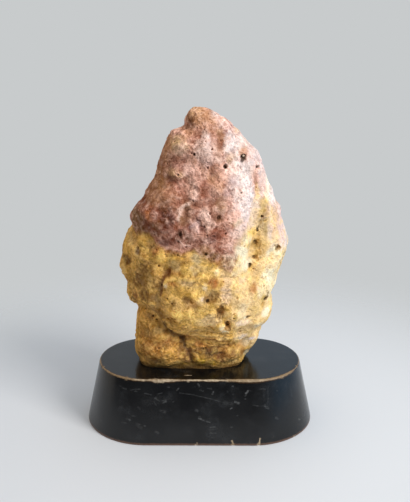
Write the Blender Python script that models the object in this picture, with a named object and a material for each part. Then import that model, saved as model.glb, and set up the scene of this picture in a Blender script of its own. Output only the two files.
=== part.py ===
"""A scholar's rock standing in the fitted socket of its lacquered wooden stand.

Metres, +Z up, origin on the table under the middle of the stand. +X runs along the
stand to the right of the rock's front, and -Y is the front.
"""

import math

import bmesh
import bpy
from mathutils import Matrix, Vector, noise
from mathutils.bvhtree import BVHTree

# Stand: a block with a racetrack plan, leaning out to the foot
STAND_HEIGHT = 0.050
STAND_TOP_LENGTH = 0.160
STAND_TOP_DEPTH = 0.080
STAND_SPLAY = 0.011
STAND_EDGE_ROUNDING = 0.0010
STAND_ARC_SEGMENTS = 64

# Socket: cut to the outline of the rock's foot, which stands a little clear of its floor
SOCKET_DEPTH = 0.008
SOCKET_CLEARANCE = 0.0006
RESTING_GAP = 0.0003
FOOT_HEIGHT = STAND_HEIGHT - SOCKET_DEPTH + RESTING_GAP

# Rock: level sections, bottom to top, as (height, left, right, front, back, squareness)
ROCK_SECTIONS = (
    (FOOT_HEIGHT, -0.0455, 0.0300, -0.0180, 0.0240, 4.0),
    (0.0500, -0.0475, 0.0335, -0.0192, 0.0255, 4.0),
    (0.0590, -0.0498, 0.0388, -0.0225, 0.0270, 3.3),
    (0.0700, -0.0500, 0.0455, -0.0270, 0.0290, 2.8),
    (0.0800, -0.0500, 0.0488, -0.0295, 0.0315, 2.5),
    (0.0870, -0.0508, 0.0522, -0.0325, 0.0340, 2.5),
    (0.0925, -0.0505, 0.0560, -0.0355, 0.0360, 2.4),
    (0.0990, -0.0522, 0.0550, -0.0390, 0.0380, 2.3),
    (0.1080, -0.0547, 0.0543, -0.0405, 0.0400, 2.3),
    (0.1190, -0.0538, 0.0596, -0.0410, 0.0415, 2.3),
    (0.1300, -0.0572, 0.0616, -0.0400, 0.0425, 2.2),
    (0.1420, -0.0580, 0.0645, -0.0390, 0.0430, 2.2),
    (0.1500, -0.0563, 0.0642, -0.0385, 0.0430, 2.2),
    (0.1600, -0.0505, 0.0602, -0.0385, 0.0425, 2.2),
    (0.1710, -0.0510, 0.0573, -0.0375, 0.0410, 2.2),
    (0.1810, -0.0435, 0.0541, -0.0350, 0.0385, 2.2),
    (0.1920, -0.0372, 0.0508, -0.0325, 0.0355, 2.1),
    (0.2040, -0.0342, 0.0490, -0.0290, 0.0320, 2.1),
    (0.2150, -0.0296, 0.0422, -0.0255, 0.0280, 2.1),
    (0.2240, -0.0257, 0.0345, -0.0220, 0.0240, 2.0),
    (0.2320, -0.0195, 0.0282, -0.0185, 0.0205, 2.0),
    (0.2338, -0.0108, 0.0256, -0.0175, 0.0192, 2.0),
    (0.2367, -0.0088, 0.0230, -0.0159, 0.0168, 2.0),
    (0.2410, -0.0088, 0.0208, -0.0140, 0.0145, 2.0),
    (0.2460, -0.0055, 0.0143, -0.0105, 0.0105, 2.0),
    (0.2495, 0.0050, 0.0056, -0.0005, 0.0005, 2.0),
)
# The sections' outline wanders in and out, as (waves round the rock, share of its size, turn)
OUTLINE_WAVES = ((3, 0.014, 0.9), (5, 0.013, 2.1), (8, 0.009, 0.3))
ROCK_SEGMENTS = 108
ROCK_RINGS = 92
FOOT_RINGS = 5
CROWN_SHARE = 0.12
ROCK_TRIANGLES_KEPT = 0.385

# Lumps on the rock, as (x, y, z, reach, height)
LUMPS = (
    (0.003, -0.010, 0.243, 0.011, 0.0010),  # crown knob
    (-0.017, -0.015, 0.226, 0.011, 0.0022),  # left shoulder
    (0.034, -0.022, 0.214, 0.014, 0.0018),  # right brow
    (-0.038, -0.028, 0.174, 0.021, 0.0050),  # left cheek
    (0.013, -0.032, 0.196, 0.017, 0.0028),  # ridge down from the crown
    (0.020, -0.037, 0.172, 0.018, 0.0032),
    (0.030, -0.036, 0.146, 0.016, 0.0026),
    (0.056, -0.014, 0.176, 0.016, 0.0020),  # right shoulder
    (0.060, -0.010, 0.148, 0.014, 0.0020),  # right cheek
    (-0.046, -0.022, 0.146, 0.012, 0.0028),  # knobs down the left edge
    (-0.054, -0.012, 0.128, 0.011, 0.0024),
    (-0.048, -0.020, 0.110, 0.010, 0.0020),
    (-0.004, -0.042, 0.124, 0.027, 0.0062),  # belly
    (-0.010, -0.042, 0.102, 0.016, 0.0030),
    (0.034, -0.034, 0.108, 0.020, 0.0030),  # hip
    (0.050, -0.022, 0.100, 0.012, 0.0022),
    (-0.036, -0.024, 0.080, 0.014, 0.0024),  # left foot
    (-0.030, -0.024, 0.063, 0.016, 0.0036),
    (0.012, -0.024, 0.061, 0.015, 0.0030),  # right foot
    (0.020, -0.030, 0.078, 0.012, 0.0018),
    (-0.050, 0.016, 0.130, 0.022, 0.0034),  # left flank
    (-0.010, 0.040, 0.156, 0.028, 0.0052),  # back boss
    (0.032, 0.034, 0.114, 0.022, 0.0045),  # low back knob
    (-0.032, 0.030, 0.096, 0.018, 0.0038),  # back heel
    (0.014, 0.026, 0.204, 0.019, 0.0034),  # back brow
    (0.046, 0.016, 0.178, 0.016, 0.0028),  # back right shoulder
)

# Creases, as (depth, half width, points)
CREASES = (
    # Notch under the crown knob
    (0.0036, 0.0028, ((-0.014, -0.008, 0.238), (-0.007, -0.016, 0.234), (-0.001, -0.020, 0.232))),
    # Under the left cheek
    (0.0030, 0.0036, ((-0.054, -0.008, 0.158), (-0.043, -0.027, 0.156), (-0.030, -0.037, 0.157),
                      (-0.017, -0.041, 0.161))),
    # Left of the belly and over its top
    (0.0052, 0.0042, ((-0.023, -0.040, 0.146), (-0.028, -0.039, 0.134), (-0.031, -0.038, 0.120),
                      (-0.030, -0.038, 0.107))),
    (0.0020, 0.0030, ((-0.023, -0.041, 0.145), (-0.009, -0.044, 0.149), (0.005, -0.044, 0.146),
                      (0.014, -0.043, 0.136))),
    # Groove under the belly, from the left edge to the right
    (0.0056, 0.0046, ((-0.050, -0.014, 0.096), (-0.043, -0.029, 0.103), (-0.034, -0.033, 0.096),
                      (-0.026, -0.033, 0.087), (-0.014, -0.031, 0.078), (0.004, -0.032, 0.076),
                      (0.022, -0.028, 0.071), (0.036, -0.019, 0.070))),
    # Cleft between the feet
    (0.0044, 0.0040, ((-0.013, -0.031, 0.078), (-0.009, -0.028, 0.066), (-0.007, -0.023, 0.050))),
    # Valley down the right side
    (0.0034, 0.0052, ((0.045, -0.024, 0.190), (0.042, -0.031, 0.169), (0.040, -0.031, 0.150),
                      (0.038, -0.034, 0.132))),
    # Hollow between the shoulder and the ridge
    (0.0018, 0.0058, ((-0.012, -0.022, 0.218), (-0.006, -0.030, 0.204), (-0.012, -0.034, 0.188))),
    # Right of the belly, down to its hollow
    (0.0024, 0.0045, ((0.018, -0.043, 0.132), (0.016, -0.044, 0.116), (0.020, -0.041, 0.098))),
    # Clefts across the back
    (0.0048, 0.0055, ((0.030, 0.040, 0.176), (0.012, 0.046, 0.134), (-0.010, 0.042, 0.100),
                      (-0.016, 0.030, 0.064))),
    (0.0042, 0.0050, ((-0.056, 0.014, 0.156), (-0.030, 0.038, 0.124), (0.004, 0.044, 0.108))),
    (0.0036, 0.0046, ((0.056, 0.014, 0.122), (0.040, 0.032, 0.088), (0.016, 0.030, 0.072))),
    (0.0034, 0.0046, ((0.010, 0.028, 0.222), (-0.018, 0.028, 0.190), (-0.044, 0.014, 0.176))),
)

# Weathering over the whole rock, as (size, height)
WEATHERING = ((0.026, 0.0026), (0.012, 0.0018), (0.0065, 0.0009))
# The relief grows from nothing at the stand's top to its full height here
FULL_RELIEF_HEIGHT = 0.0580

# Solution pits on the front, as (x, z, radius, depth)
FRONT_PITS = (
    (0.0313, 0.2161, 0.0023, 0.0030),
    (0.0185, 0.2120, 0.0019, 0.0028),
    (0.0424, 0.2083, 0.0015, 0.0022),
    (0.0373, 0.1805, 0.0015, 0.0020),
    (0.0418, 0.1637, 0.0021, 0.0030),
    (0.0456, 0.1738, 0.0016, 0.0024),
    (0.0407, 0.1543, 0.0025, 0.0028),
    (0.0406, 0.1432, 0.0018, 0.0024),
    (0.0370, 0.1382, 0.0021, 0.0028),
    (0.0574, 0.1484, 0.0026, 0.0032),
    (0.0072, 0.1487, 0.0022, 0.0026),
    (0.0062, 0.1159, 0.0020, 0.0028),
    (0.0154, 0.1070, 0.0042, 0.0040),
    (0.0203, 0.0944, 0.0032, 0.0046),
    (0.0255, 0.1020, 0.0017, 0.0024),
    (0.0364, 0.0988, 0.0018, 0.0024),
    (0.0495, 0.1096, 0.0023, 0.0028),
    (0.0516, 0.1130, 0.0014, 0.0020),
    (0.0313, 0.0836, 0.0013, 0.0020),
    (-0.0243, 0.1490, 0.0013, 0.0020),
    (-0.0294, 0.1398, 0.0015, 0.0022),
    (-0.0355, 0.0964, 0.0015, 0.0024),
    (-0.0323, 0.0941, 0.0015, 0.0024),
    (-0.0356, 0.1797, 0.0015, 0.0022),
    (-0.0138, 0.1643, 0.0018, 0.0024),
    (0.0090, 0.2226, 0.0013, 0.0020),
    (-0.0042, 0.2191, 0.0015, 0.0020),
)
# Solution pits on the back, as (x, z, radius, depth)
BACK_PITS = (
    (-0.0200, 0.1700, 0.0036, 0.0042),
    (-0.0130, 0.1630, 0.0020, 0.0030),
    (0.0340, 0.1740, 0.0030, 0.0036),
    (0.0270, 0.1690, 0.0017, 0.0026),
    (0.0160, 0.1390, 0.0024, 0.0032),
    (-0.0380, 0.1180, 0.0034, 0.0040),
    (-0.0310, 0.1110, 0.0019, 0.0028),
    (0.0020, 0.0880, 0.0040, 0.0048),
    (0.0430, 0.1300, 0.0022, 0.0030),
    (0.0090, 0.2130, 0.0019, 0.0028),
    (-0.0120, 0.2020, 0.0023, 0.0030),
)
# A pit wider than this is cut with a rounder ball
WIDE_PIT = 0.0025
RAY_START = 0.5

SHARP_ANGLE = math.radians(35)
SAME_HEIGHT = 1e-6


def smooth_between(before, low, high, after, share):
    """Catmull-Rom value between low and high."""
    cubic = 3 * (low - high) + after - before
    square = 2 * before - 5 * low + 4 * high - after
    return low + 0.5 * share * (high - before + share * (square + share * cubic))


def section_at(height):
    """(left, right, front, back, squareness) of the rock at a height."""
    last = len(ROCK_SECTIONS) - 1
    low = 0
    while low < last - 1 and ROCK_SECTIONS[low + 1][0] <= height:
        low += 1
    rows = [ROCK_SECTIONS[min(max(low + step, 0), last)] for step in (-1, 0, 1, 2)]
    share = (height - rows[1][0]) / (rows[2][0] - rows[1][0])
    return [smooth_between(*(row[column] for row in rows), share) for column in range(1, 6)]


def outline_point(angle, height, grow=0.0):
    """The point of the rock's level section that lies at an angle, grown outwards."""
    left, right, front, back, squareness = section_at(height)
    along, across = math.cos(angle), math.sin(angle)
    centre = Vector(((left + right) / 2, (front + back) / 2, height))
    size = 1 + sum(share * math.sin(waves * angle + turn) for waves, share, turn in OUTLINE_WAVES)
    half_length = size * (right - left) / 2 + grow
    half_depth = size * (back - front) / 2 + grow
    power = 2 / squareness
    return centre + Vector((
        math.copysign(half_length * abs(along) ** power, along),
        math.copysign(half_depth * abs(across) ** power, across),
        0,
    ))


def ring_place(ring):
    """(height, share of the section's size) of a ring, counted from the bottom pole."""
    bottom, top = ROCK_SECTIONS[0][0], ROCK_SECTIONS[-1][0]
    if ring <= FOOT_RINGS:
        return bottom, ring / FOOT_RINGS
    climb = (ring - FOOT_RINGS) / (ROCK_RINGS - FOOT_RINGS)
    crown_start = 1 - CROWN_SHARE
    # Ring spacing closes up like a dome's over the crown
    straight_share = crown_start / (crown_start + CROWN_SHARE * 2 / math.pi)
    if climb < crown_start:
        return bottom + (top - bottom) * straight_share * climb / crown_start, 1.0
    turn = math.sin((climb - crown_start) / CROWN_SHARE * math.pi / 2)
    return bottom + (top - bottom) * (straight_share + (1 - straight_share) * turn), 1.0


def fade(value, start, end):
    share = min(max((value - start) / (end - start), 0), 1)
    return share * share * (3 - 2 * share)


def distance_to_line(point, line):
    """Distance from a point to the nearest stretch of a broken line."""
    nearest = math.inf
    for start, end in zip(line, line[1:]):
        start, end = Vector(start), Vector(end)
        run = end - start
        share = min(max((point - start).dot(run) / run.length_squared, 0), 1)
        nearest = min(nearest, (point - start - share * run).length)
    return nearest


def relief(point):
    """How far the surface stands out from the smooth form at a point."""
    height = 0.0
    for x, y, z, reach, rise in LUMPS:
        away = (point - Vector((x, y, z))).length / (2 * reach)
        height += rise * fade(1 - away, 0, 1)
    for depth, half_width, line in CREASES:
        height -= depth * math.exp(-((distance_to_line(point, line) / half_width) ** 2))
    for size, rise in WEATHERING:
        height += rise * noise.noise(point / size)
    return height * fade(point.z, STAND_HEIGHT, FULL_RELIEF_HEIGHT)


def collection(name):
    made = bpy.data.collections.new(name)
    bpy.context.scene.collection.children.link(made)
    return made


def material(name, color, roughness):
    made = bpy.data.materials.new(name)
    made.use_nodes = True
    shader = made.node_tree.nodes["Principled BSDF"]
    shader.inputs["Base Color"].default_value = (*color, 1)
    shader.inputs["Roughness"].default_value = roughness
    shader.inputs["Metallic"].default_value = 0
    return made


def new_object(name, bm, group, finish=None):
    """A mesh object from a bmesh, smooth but for its sharp edges."""
    mesh = bpy.data.meshes.new(name)
    bm.to_mesh(mesh)
    bm.free()
    mesh.shade_smooth()
    mesh.set_sharp_from_angle(angle=SHARP_ANGLE)
    if finish:
        mesh.materials.append(finish)
    made = bpy.data.objects.new(name, mesh)
    group.objects.link(made)
    return made


def make_cutter(made):
    made.hide_render = True
    made.display_type = "WIRE"
    return made


def cut(target, cutter):
    boolean = target.modifiers.new("cut " + cutter.name, "BOOLEAN")
    boolean.operation = "DIFFERENCE"
    boolean.object = cutter


def build_stand(group):
    """A round frustum pulled apart at its middle into a racetrack plan, with eased edges."""
    end_radius = STAND_TOP_DEPTH / 2
    straight = STAND_TOP_LENGTH - STAND_TOP_DEPTH
    bm = bmesh.new()
    bmesh.ops.create_cone(
        bm, cap_ends=True, segments=STAND_ARC_SEGMENTS,
        radius1=end_radius + STAND_SPLAY, radius2=end_radius, depth=STAND_HEIGHT,
        matrix=Matrix.Translation((0, 0, STAND_HEIGHT / 2))
        @ Matrix.Rotation(math.pi / STAND_ARC_SEGMENTS, 4, "Z"),
    )
    for vertex in bm.verts:
        vertex.co.x += math.copysign(straight / 2, vertex.co.x)
    rims = [edge for edge in bm.edges if abs(edge.verts[0].co.z - edge.verts[1].co.z) < SAME_HEIGHT]
    bmesh.ops.bevel(
        bm, geom=rims, offset=STAND_EDGE_ROUNDING, segments=3, profile=0.5,
        affect="EDGES", material=-1,
    )
    return new_object("stand", bm, group, material("black lacquer", (0.012, 0.012, 0.014), 0.28))


def build_socket_cutter(group):
    """The rock's foot, grown by the clearance, from the socket's floor to above the stand."""
    floor = STAND_HEIGHT - SOCKET_DEPTH
    over = STAND_HEIGHT + SOCKET_DEPTH / 4
    bm = bmesh.new()
    bmesh.ops.create_cone(
        bm, cap_ends=True, segments=ROCK_SEGMENTS, radius1=1, radius2=1, depth=over - floor,
        matrix=Matrix.Translation((0, 0, (over + floor) / 2)),
    )
    for vertex in bm.verts:
        angle = math.atan2(vertex.co.y, vertex.co.x)
        height = vertex.co.z
        vertex.co = outline_point(angle, max(height, FOOT_HEIGHT), SOCKET_CLEARANCE)
        vertex.co.z = height
    return make_cutter(new_object("socket_cutter", bm, group))


def build_rock_form(group):
    """A sphere's grid laid over the sections, then moved out and in by the relief."""
    bm = bmesh.new()
    bmesh.ops.create_uvsphere(bm, u_segments=ROCK_SEGMENTS, v_segments=ROCK_RINGS, radius=1)
    for vertex in bm.verts:
        polar = math.acos(min(max(vertex.co.z, -1), 1))
        height, share = ring_place(round(ROCK_RINGS * (1 - polar / math.pi)))
        angle = math.atan2(vertex.co.y, vertex.co.x)
        edge = outline_point(angle, height)
        left, right, front, back, _ = section_at(height)
        centre = Vector(((left + right) / 2, (front + back) / 2, height))
        vertex.co = centre.lerp(edge, share)
    bmesh.ops.recalc_face_normals(bm, faces=bm.faces)
    bm.normal_update()
    moves = [(vertex, vertex.normal * relief(vertex.co)) for vertex in bm.verts]
    for vertex, move in moves:
        vertex.co += move
    bmesh.ops.triangulate(bm, faces=bm.faces)
    return new_object("rock", bm, group, material("rose and ochre stone", (0.56, 0.36, 0.20), 0.8))


def build_pit_cutters(rock, group):
    """Flattened balls, each sunk into the face that a level ray meets."""
    bm = bmesh.new()
    bm.from_mesh(rock.data)
    surface = BVHTree.FromBMesh(bm)
    bm.free()
    cutters = bmesh.new()
    for side, pits in ((-1, FRONT_PITS), (1, BACK_PITS)):
        for x, z, radius, depth in pits:
            start = Vector((x, side * RAY_START, z))
            place, facing, _, _ = surface.ray_cast(start, Vector((0, -side, 0)))
            turn = facing.to_track_quat("Z", "Y").to_matrix().to_4x4()
            shape = Matrix.Diagonal((radius, radius, depth, 1))
            bmesh.ops.create_icosphere(
                cutters, subdivisions=2 if radius > WIDE_PIT else 1, radius=1,
                matrix=Matrix.Translation(place) @ turn @ shape,
            )
    return make_cutter(new_object("pit_cutters", cutters, group))


def thin_out(target, share):
    """Keeps that share of the triangles, where the surface turns most."""
    decimate = target.modifiers.new("thin out", "DECIMATE")
    decimate.ratio = share


def main():
    for left_over in list(bpy.data.objects):
        bpy.data.objects.remove(left_over)
    parts = collection("scholars_rock")
    cutters = collection("cutters")
    stand = build_stand(parts)
    cut(stand, build_socket_cutter(cutters))
    rock = build_rock_form(parts)
    cut(rock, build_pit_cutters(rock, cutters))
    thin_out(rock, ROCK_TRIANGLES_KEPT)


main()
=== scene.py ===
import math
import random

import bmesh
import bpy
import numpy as np
from mathutils import Matrix, Vector, noise
from mathutils.bvhtree import BVHTree


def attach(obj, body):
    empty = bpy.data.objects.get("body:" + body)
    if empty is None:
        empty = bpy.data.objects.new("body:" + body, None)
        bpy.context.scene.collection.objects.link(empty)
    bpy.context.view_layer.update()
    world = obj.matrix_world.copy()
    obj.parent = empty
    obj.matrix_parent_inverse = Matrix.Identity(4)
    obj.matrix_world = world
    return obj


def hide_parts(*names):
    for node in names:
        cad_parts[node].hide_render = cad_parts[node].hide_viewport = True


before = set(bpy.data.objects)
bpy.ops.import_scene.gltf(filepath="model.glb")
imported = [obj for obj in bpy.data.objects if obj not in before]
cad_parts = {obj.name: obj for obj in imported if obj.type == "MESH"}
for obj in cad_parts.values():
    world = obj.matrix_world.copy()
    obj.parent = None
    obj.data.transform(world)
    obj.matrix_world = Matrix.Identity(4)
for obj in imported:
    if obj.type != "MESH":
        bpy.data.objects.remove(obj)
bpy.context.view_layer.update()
mm = 0.001
print("frame loaded")


def linear(color):
    # 0 to 255 as seen on a screen, to the light it stands for
    return tuple((c / 255 / 12.92) if c < 10.3 else ((c / 255 + 0.055) / 1.055) ** 2.4 for c in color)


class Nodes:
    # A short way to add and join the nodes of one material
    def __init__(self, tree):
        self.tree = tree
        tree.nodes.clear()

    def add(self, kind, inputs=None, **settings):
        node = self.tree.nodes.new("ShaderNode" + kind)
        for name, value in settings.items():
            setattr(node, name, value)
        for key, value in (inputs or {}).items():
            self.feed(node.inputs[key], value)
        return node

    def feed(self, socket, value):
        if isinstance(value, bpy.types.NodeSocket):
            self.tree.links.new(value, socket)
        elif socket.type == "RGBA" and len(value) == 3:
            socket.default_value = (*value, 1)
        else:
            socket.default_value = value

    def math(self, operation, a, b=0.0, clamp=False):
        return self.add("Math", {0: a, 1: b}, operation=operation, use_clamp=clamp).outputs[0]

    def times(self, a, b):
        return self.math("MULTIPLY", a, b)

    def plus(self, a, b):
        return self.math("ADD", a, b)

    def minus(self, a, b):
        return self.math("SUBTRACT", a, b)

    def larger(self, a, b):
        return self.math("MAXIMUM", a, b)

    def size(self, a):
        return self.math("ABSOLUTE", a)

    def ramp(self, value, low, high, bottom=0.0, top=1.0):
        # Smooth step from bottom to top as value goes from low to high
        return self.add("MapRange", {
            "Value": value, "From Min": low, "From Max": high, "To Min": bottom, "To Max": top,
        }, interpolation_type="SMOOTHSTEP").outputs[0]

    def blend(self, factor, a, b):
        # Between two colours, which are sockets 6 and 7 of a Mix node
        return self.add("Mix", {"Factor": factor, 6: a, 7: b}, data_type="RGBA").outputs[2]

    def level(self, factor, a, b):
        # Between two numbers, which are sockets 2 and 3 of a Mix node
        return self.add("Mix", {0: factor, 2: a, 3: b}).outputs[0]

    def noise(self, where, scale, detail=3.0, rough=0.55, twist=0.0):
        return self.add("TexNoise", {
            "Vector": where, "Scale": scale, "Detail": detail, "Roughness": rough, "Distortion": twist,
        }).outputs["Fac"]

    def flattened(self, where, share):
        # The same places with heights multiplied by share, which flattens a pattern
        return self.add("Mapping", {"Vector": where, "Scale": (1.0, 1.0, share)}).outputs[0]

    def own(self, name, output="Fac"):
        # A value that the mesh carries at its points
        return self.add("Attribute", attribute_name=name).outputs[output]

    def finish(self, shader, kind="Material"):
        self.tree.links.new(shader.outputs[0], self.add("Output" + kind).inputs["Surface"])


def newFinish(name):
    # A material, its nodes and the places it is seen at
    finish = bpy.data.materials.new(name)
    finish.use_nodes = True
    n = Nodes(finish.node_tree)
    return finish, n, n.add("TexCoord").outputs["Object"]


def newPiece(name, bm):
    mesh = bpy.data.meshes.new(name)
    bm.to_mesh(mesh)
    bm.free()
    piece = bpy.data.objects.new(name, mesh)
    bpy.context.scene.collection.objects.link(piece)
    return piece


# Places in metres, pitch in degrees, roll in radians, lens and sensor in mm, view in pixels
cameraLook = {
    "location": (0.0041, -0.5647, 0.3148),
    "pitchDown": 17.23,
    "roll": 0.003,
    "lens": 55,
    "sensor": 36,
    "nearest": 0.01,
    "view": (410, 502),
}


def cameraTurn():
    pitch = Matrix.Rotation(math.radians(90 - cameraLook["pitchDown"]), 3, "X")
    return pitch @ Matrix.Rotation(cameraLook["roll"], 3, "Z")


def placeCamera():
    data = bpy.data.cameras.new("camera")
    data.lens = cameraLook["lens"]
    data.sensor_width = cameraLook["sensor"]
    data.clip_start = cameraLook["nearest"]
    camera = bpy.data.objects.new("camera", data)
    bpy.context.scene.collection.objects.link(camera)
    camera.rotation_euler = cameraTurn().to_euler()
    camera.location = cameraLook["location"]
    bpy.context.scene.camera = camera
    bpy.context.scene.view_settings.view_transform = "Standard"


# Lengths in metres. The last rows are ramps over a direction's parts, from -1 to 1:
# x to the right, ahead to the front and z up
studio = {
    "floor": (226, 227, 229),
    "backdrop": (200, 203, 204),
    "floorRadius": 1.2,
    "floorFade": (0.13, 0.42),
    "keyPlace": (0.92, -0.78, 0.95),
    "keyAim": (0, 0, 0.12),
    "keySize": 0.6,
    "keyPower": 15.4,
    "keyTone": (1.0, 0.985, 0.96),
    "roomLeft": (0.60, 0.55, 0.48),
    "roomRight": (0.36, 0.62, 0.92),
    "roomAbove": (0.64, 0.645, 0.65),
    "roomFront": (0.11, 0.11, 0.115),
    "leftToRight": (-0.6, 0.7),
    "aboutMiddle": (-0.1, 0.1),
    "aheadOnLeft": (0.10, 0.34),
    "aheadOnRight": (0.42, 1.0),
    "eyeLevel": (0.55, 0.15),
    "overhead": (0.25, 0.9),
}


def makeFloor():
    bm = bmesh.new()
    bmesh.ops.create_circle(bm, cap_ends=True, segments=96, radius=studio["floorRadius"])
    floor = newPiece("floor", bm)
    paint, n, where = newFinish("pale floor")
    reach = n.add("VectorMath", {0: where}, operation="LENGTH").outputs["Value"]
    shader = n.add("BsdfPrincipled", {
        "Base Color": linear(studio["floor"]), "Roughness": 0.9, "Specular IOR Level": 0.2,
        "Alpha": n.ramp(reach, *studio["floorFade"], 1.0, 0.0),
    })
    n.finish(shader)
    floor.data.materials.append(paint)


def lightRoom():
    data = bpy.data.lights.new("key", "AREA")
    data.size = studio["keySize"]
    data.energy = studio["keyPower"]
    data.color = studio["keyTone"]
    key = bpy.data.objects.new("key", data)
    key.location = studio["keyPlace"]
    key.rotation_euler = (Vector(studio["keyAim"]) - key.location).to_track_quat("-Z", "Y").to_euler()
    bpy.context.scene.collection.objects.link(key)

    # A soft room: warm on the left, cooler on the right, dim in front at eye level
    world = bpy.data.worlds.new("soft room")
    world.use_nodes = True
    bpy.context.scene.world = world
    n = Nodes(world.node_tree)
    x, y, z = n.add("SeparateXYZ", {0: n.add("TexCoord").outputs["Generated"]}).outputs
    ahead = n.times(y, -1.0)
    color = n.blend(n.ramp(x, *studio["leftToRight"]), studio["roomLeft"], studio["roomRight"])
    dimLeft = n.ramp(ahead, *studio["aheadOnLeft"])
    dimRight = n.ramp(ahead, *studio["aheadOnRight"])
    dim = n.level(n.ramp(x, *studio["aboutMiddle"]), dimLeft, dimRight)
    color = n.blend(n.times(dim, n.ramp(z, *studio["eyeLevel"])), color, studio["roomFront"])
    color = n.blend(n.ramp(z, *studio["overhead"]), color, studio["roomAbove"])
    seen = n.add("LightPath").outputs["Is Camera Ray"]
    color = n.blend(seen, color, linear(studio["backdrop"]))
    n.finish(n.add("Background", {"Color": color, "Strength": 1.0}), "World")


placeCamera()
makeFloor()
lightRoom()
print("camera, floor and light placed")


def soft(values, low, high):
    # Smooth step from 0 to 1 as values go from low to high
    share = np.clip((values - low) / (high - low), 0, 1)
    return share * share * (3 - 2 * share)


def grainOf(points, size, seed=0.0):
    # Smooth noise from about -1 to 1 at each point
    return np.array([noise.noise(p) for p in (points / size + seed).tolist()])


def cellsOf(points, size, seed=0.0):
    # How far each point is inside its cell, 0 at the cell's edge
    found = [noise.voronoi(p)[0] for p in (points / size + seed).tolist()]
    return np.array([f[1] - f[0] for f in found])


def readVectors(mesh, kind):
    # The mesh's points for "place", or the directions they face for "facing"
    flat = np.zeros(len(mesh.vertices) * 3)
    if kind == "place":
        mesh.vertices.foreach_get("co", flat)
    else:
        mesh.vertex_normals.foreach_get("vector", flat)
    return flat.reshape(-1, 3)


def addValues(mesh, name, values):
    # Gives the mesh a number or a colour for each point
    values = np.asarray(values, np.float32)
    if values.ndim == 1:
        mesh.attributes.new(name, "FLOAT", "POINT").data.foreach_set("value", values)
    else:
        colors = np.c_[values, np.ones(len(values), np.float32)]
        mesh.attributes.new(name, "FLOAT_COLOR", "POINT").data.foreach_set("color", colors.ravel())


def mergedCopy(node):
    bm = bmesh.new()
    bm.from_mesh(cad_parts[node].data)
    bmesh.ops.remove_doubles(bm, verts=bm.verts, dist=1e-6)
    return bm


def surfaceOf(node):
    bm = mergedCopy(node)
    surface = BVHTree.FromBMesh(bm)
    bm.free()
    return surface


def seenOn(surface, across, down, stepAcross, stepDown):
    # Where the camera sees a surface, in mm, at a place across and down its view in pixels.
    # A place that misses the surface is moved on by steps.
    wide, tall = cameraLook["view"]
    reach = cameraLook["lens"] / cameraLook["sensor"] * tall
    place = None
    while place is None:
        ray = cameraTurn() @ Vector(((across - wide / 2) / reach, (tall / 2 - down) / reach, -1))
        place, _, _, _ = surface.ray_cast(Vector(cameraLook["location"]), ray.normalized())
        across += stepAcross
        down += stepDown
    return place / mm


def halveNear(bm, spots, shortEdge):
    # Halves the edges longer than shortEdge on the faces within reach of a spot, (place, reach)
    tree = BVHTree.FromBMesh(bm)
    bm.faces.ensure_lookup_table()
    near = set()
    for place, reach in spots:
        near.update(index for _, _, index, _ in tree.find_nearest_range(place, reach))
    chosen = {edge for index in near for edge in bm.faces[index].edges if edge.calc_length() > shortEdge}
    edges = sorted(chosen, key=lambda edge: edge.index)
    bmesh.ops.subdivide_edges(bm, edges=edges, cuts=1, use_grid_fill=True)
    bmesh.ops.triangulate(bm, faces=[face for face in bm.faces if len(face.verts) > 4])
    bm.edges.index_update()


def dress(piece, node, finish):
    piece.data.materials.clear()
    piece.data.materials.append(finish)
    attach(piece, "root")
    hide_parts(node)


# Heights, the axis' place along x and the pale side's turn from peach to ivory are in mm,
# perPixel is mm on the rock to a pixel of the camera's view, and viewMiddle is in those pixels
rockForm = {
    "skin": 1.13 * mm,
    "smoothing": 4,
    "shortEdge": 0.45 * mm,
    "finer": ((1.4, 0.55), (1.2, 0.80)),
    "margin": 0.15 * mm,
    "castFrom": 0.3,
    "openPit": 2.05 * mm,
    "bareBelow": 50.0,
    "fullAbove": 52.8,
    # The next heights, in mm: between them painted shade darkens the rock just above the stand
    "footShade": (54.5, 50.5),
    "paleTurns": (150.0, 172.0),
    "stainStrength": 1.25,
    "perPixel": 0.75,
    "viewMiddle": (200, 240),
    "axis": 2.0,
}

# How much each kind of relief moves the skin, in mm
relief = {
    "lumps": 0.50, "dimples": 0.30, "swells": 1.2, "folds": 0.30, "cracks": 0.7,
    "flakes": 0.36, "smootherRose": 0.18,
    "knobs": 0.10, "roughKnobs": 0.30, "strands": 0.14, "roughStrands": 0.34,
}

# Level folds under the belly: middle as (x, z), reach both ways and spacing, in mm
folded = {"middle": (8, 80), "reach": (34, 12), "spacing": 3.6}

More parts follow.
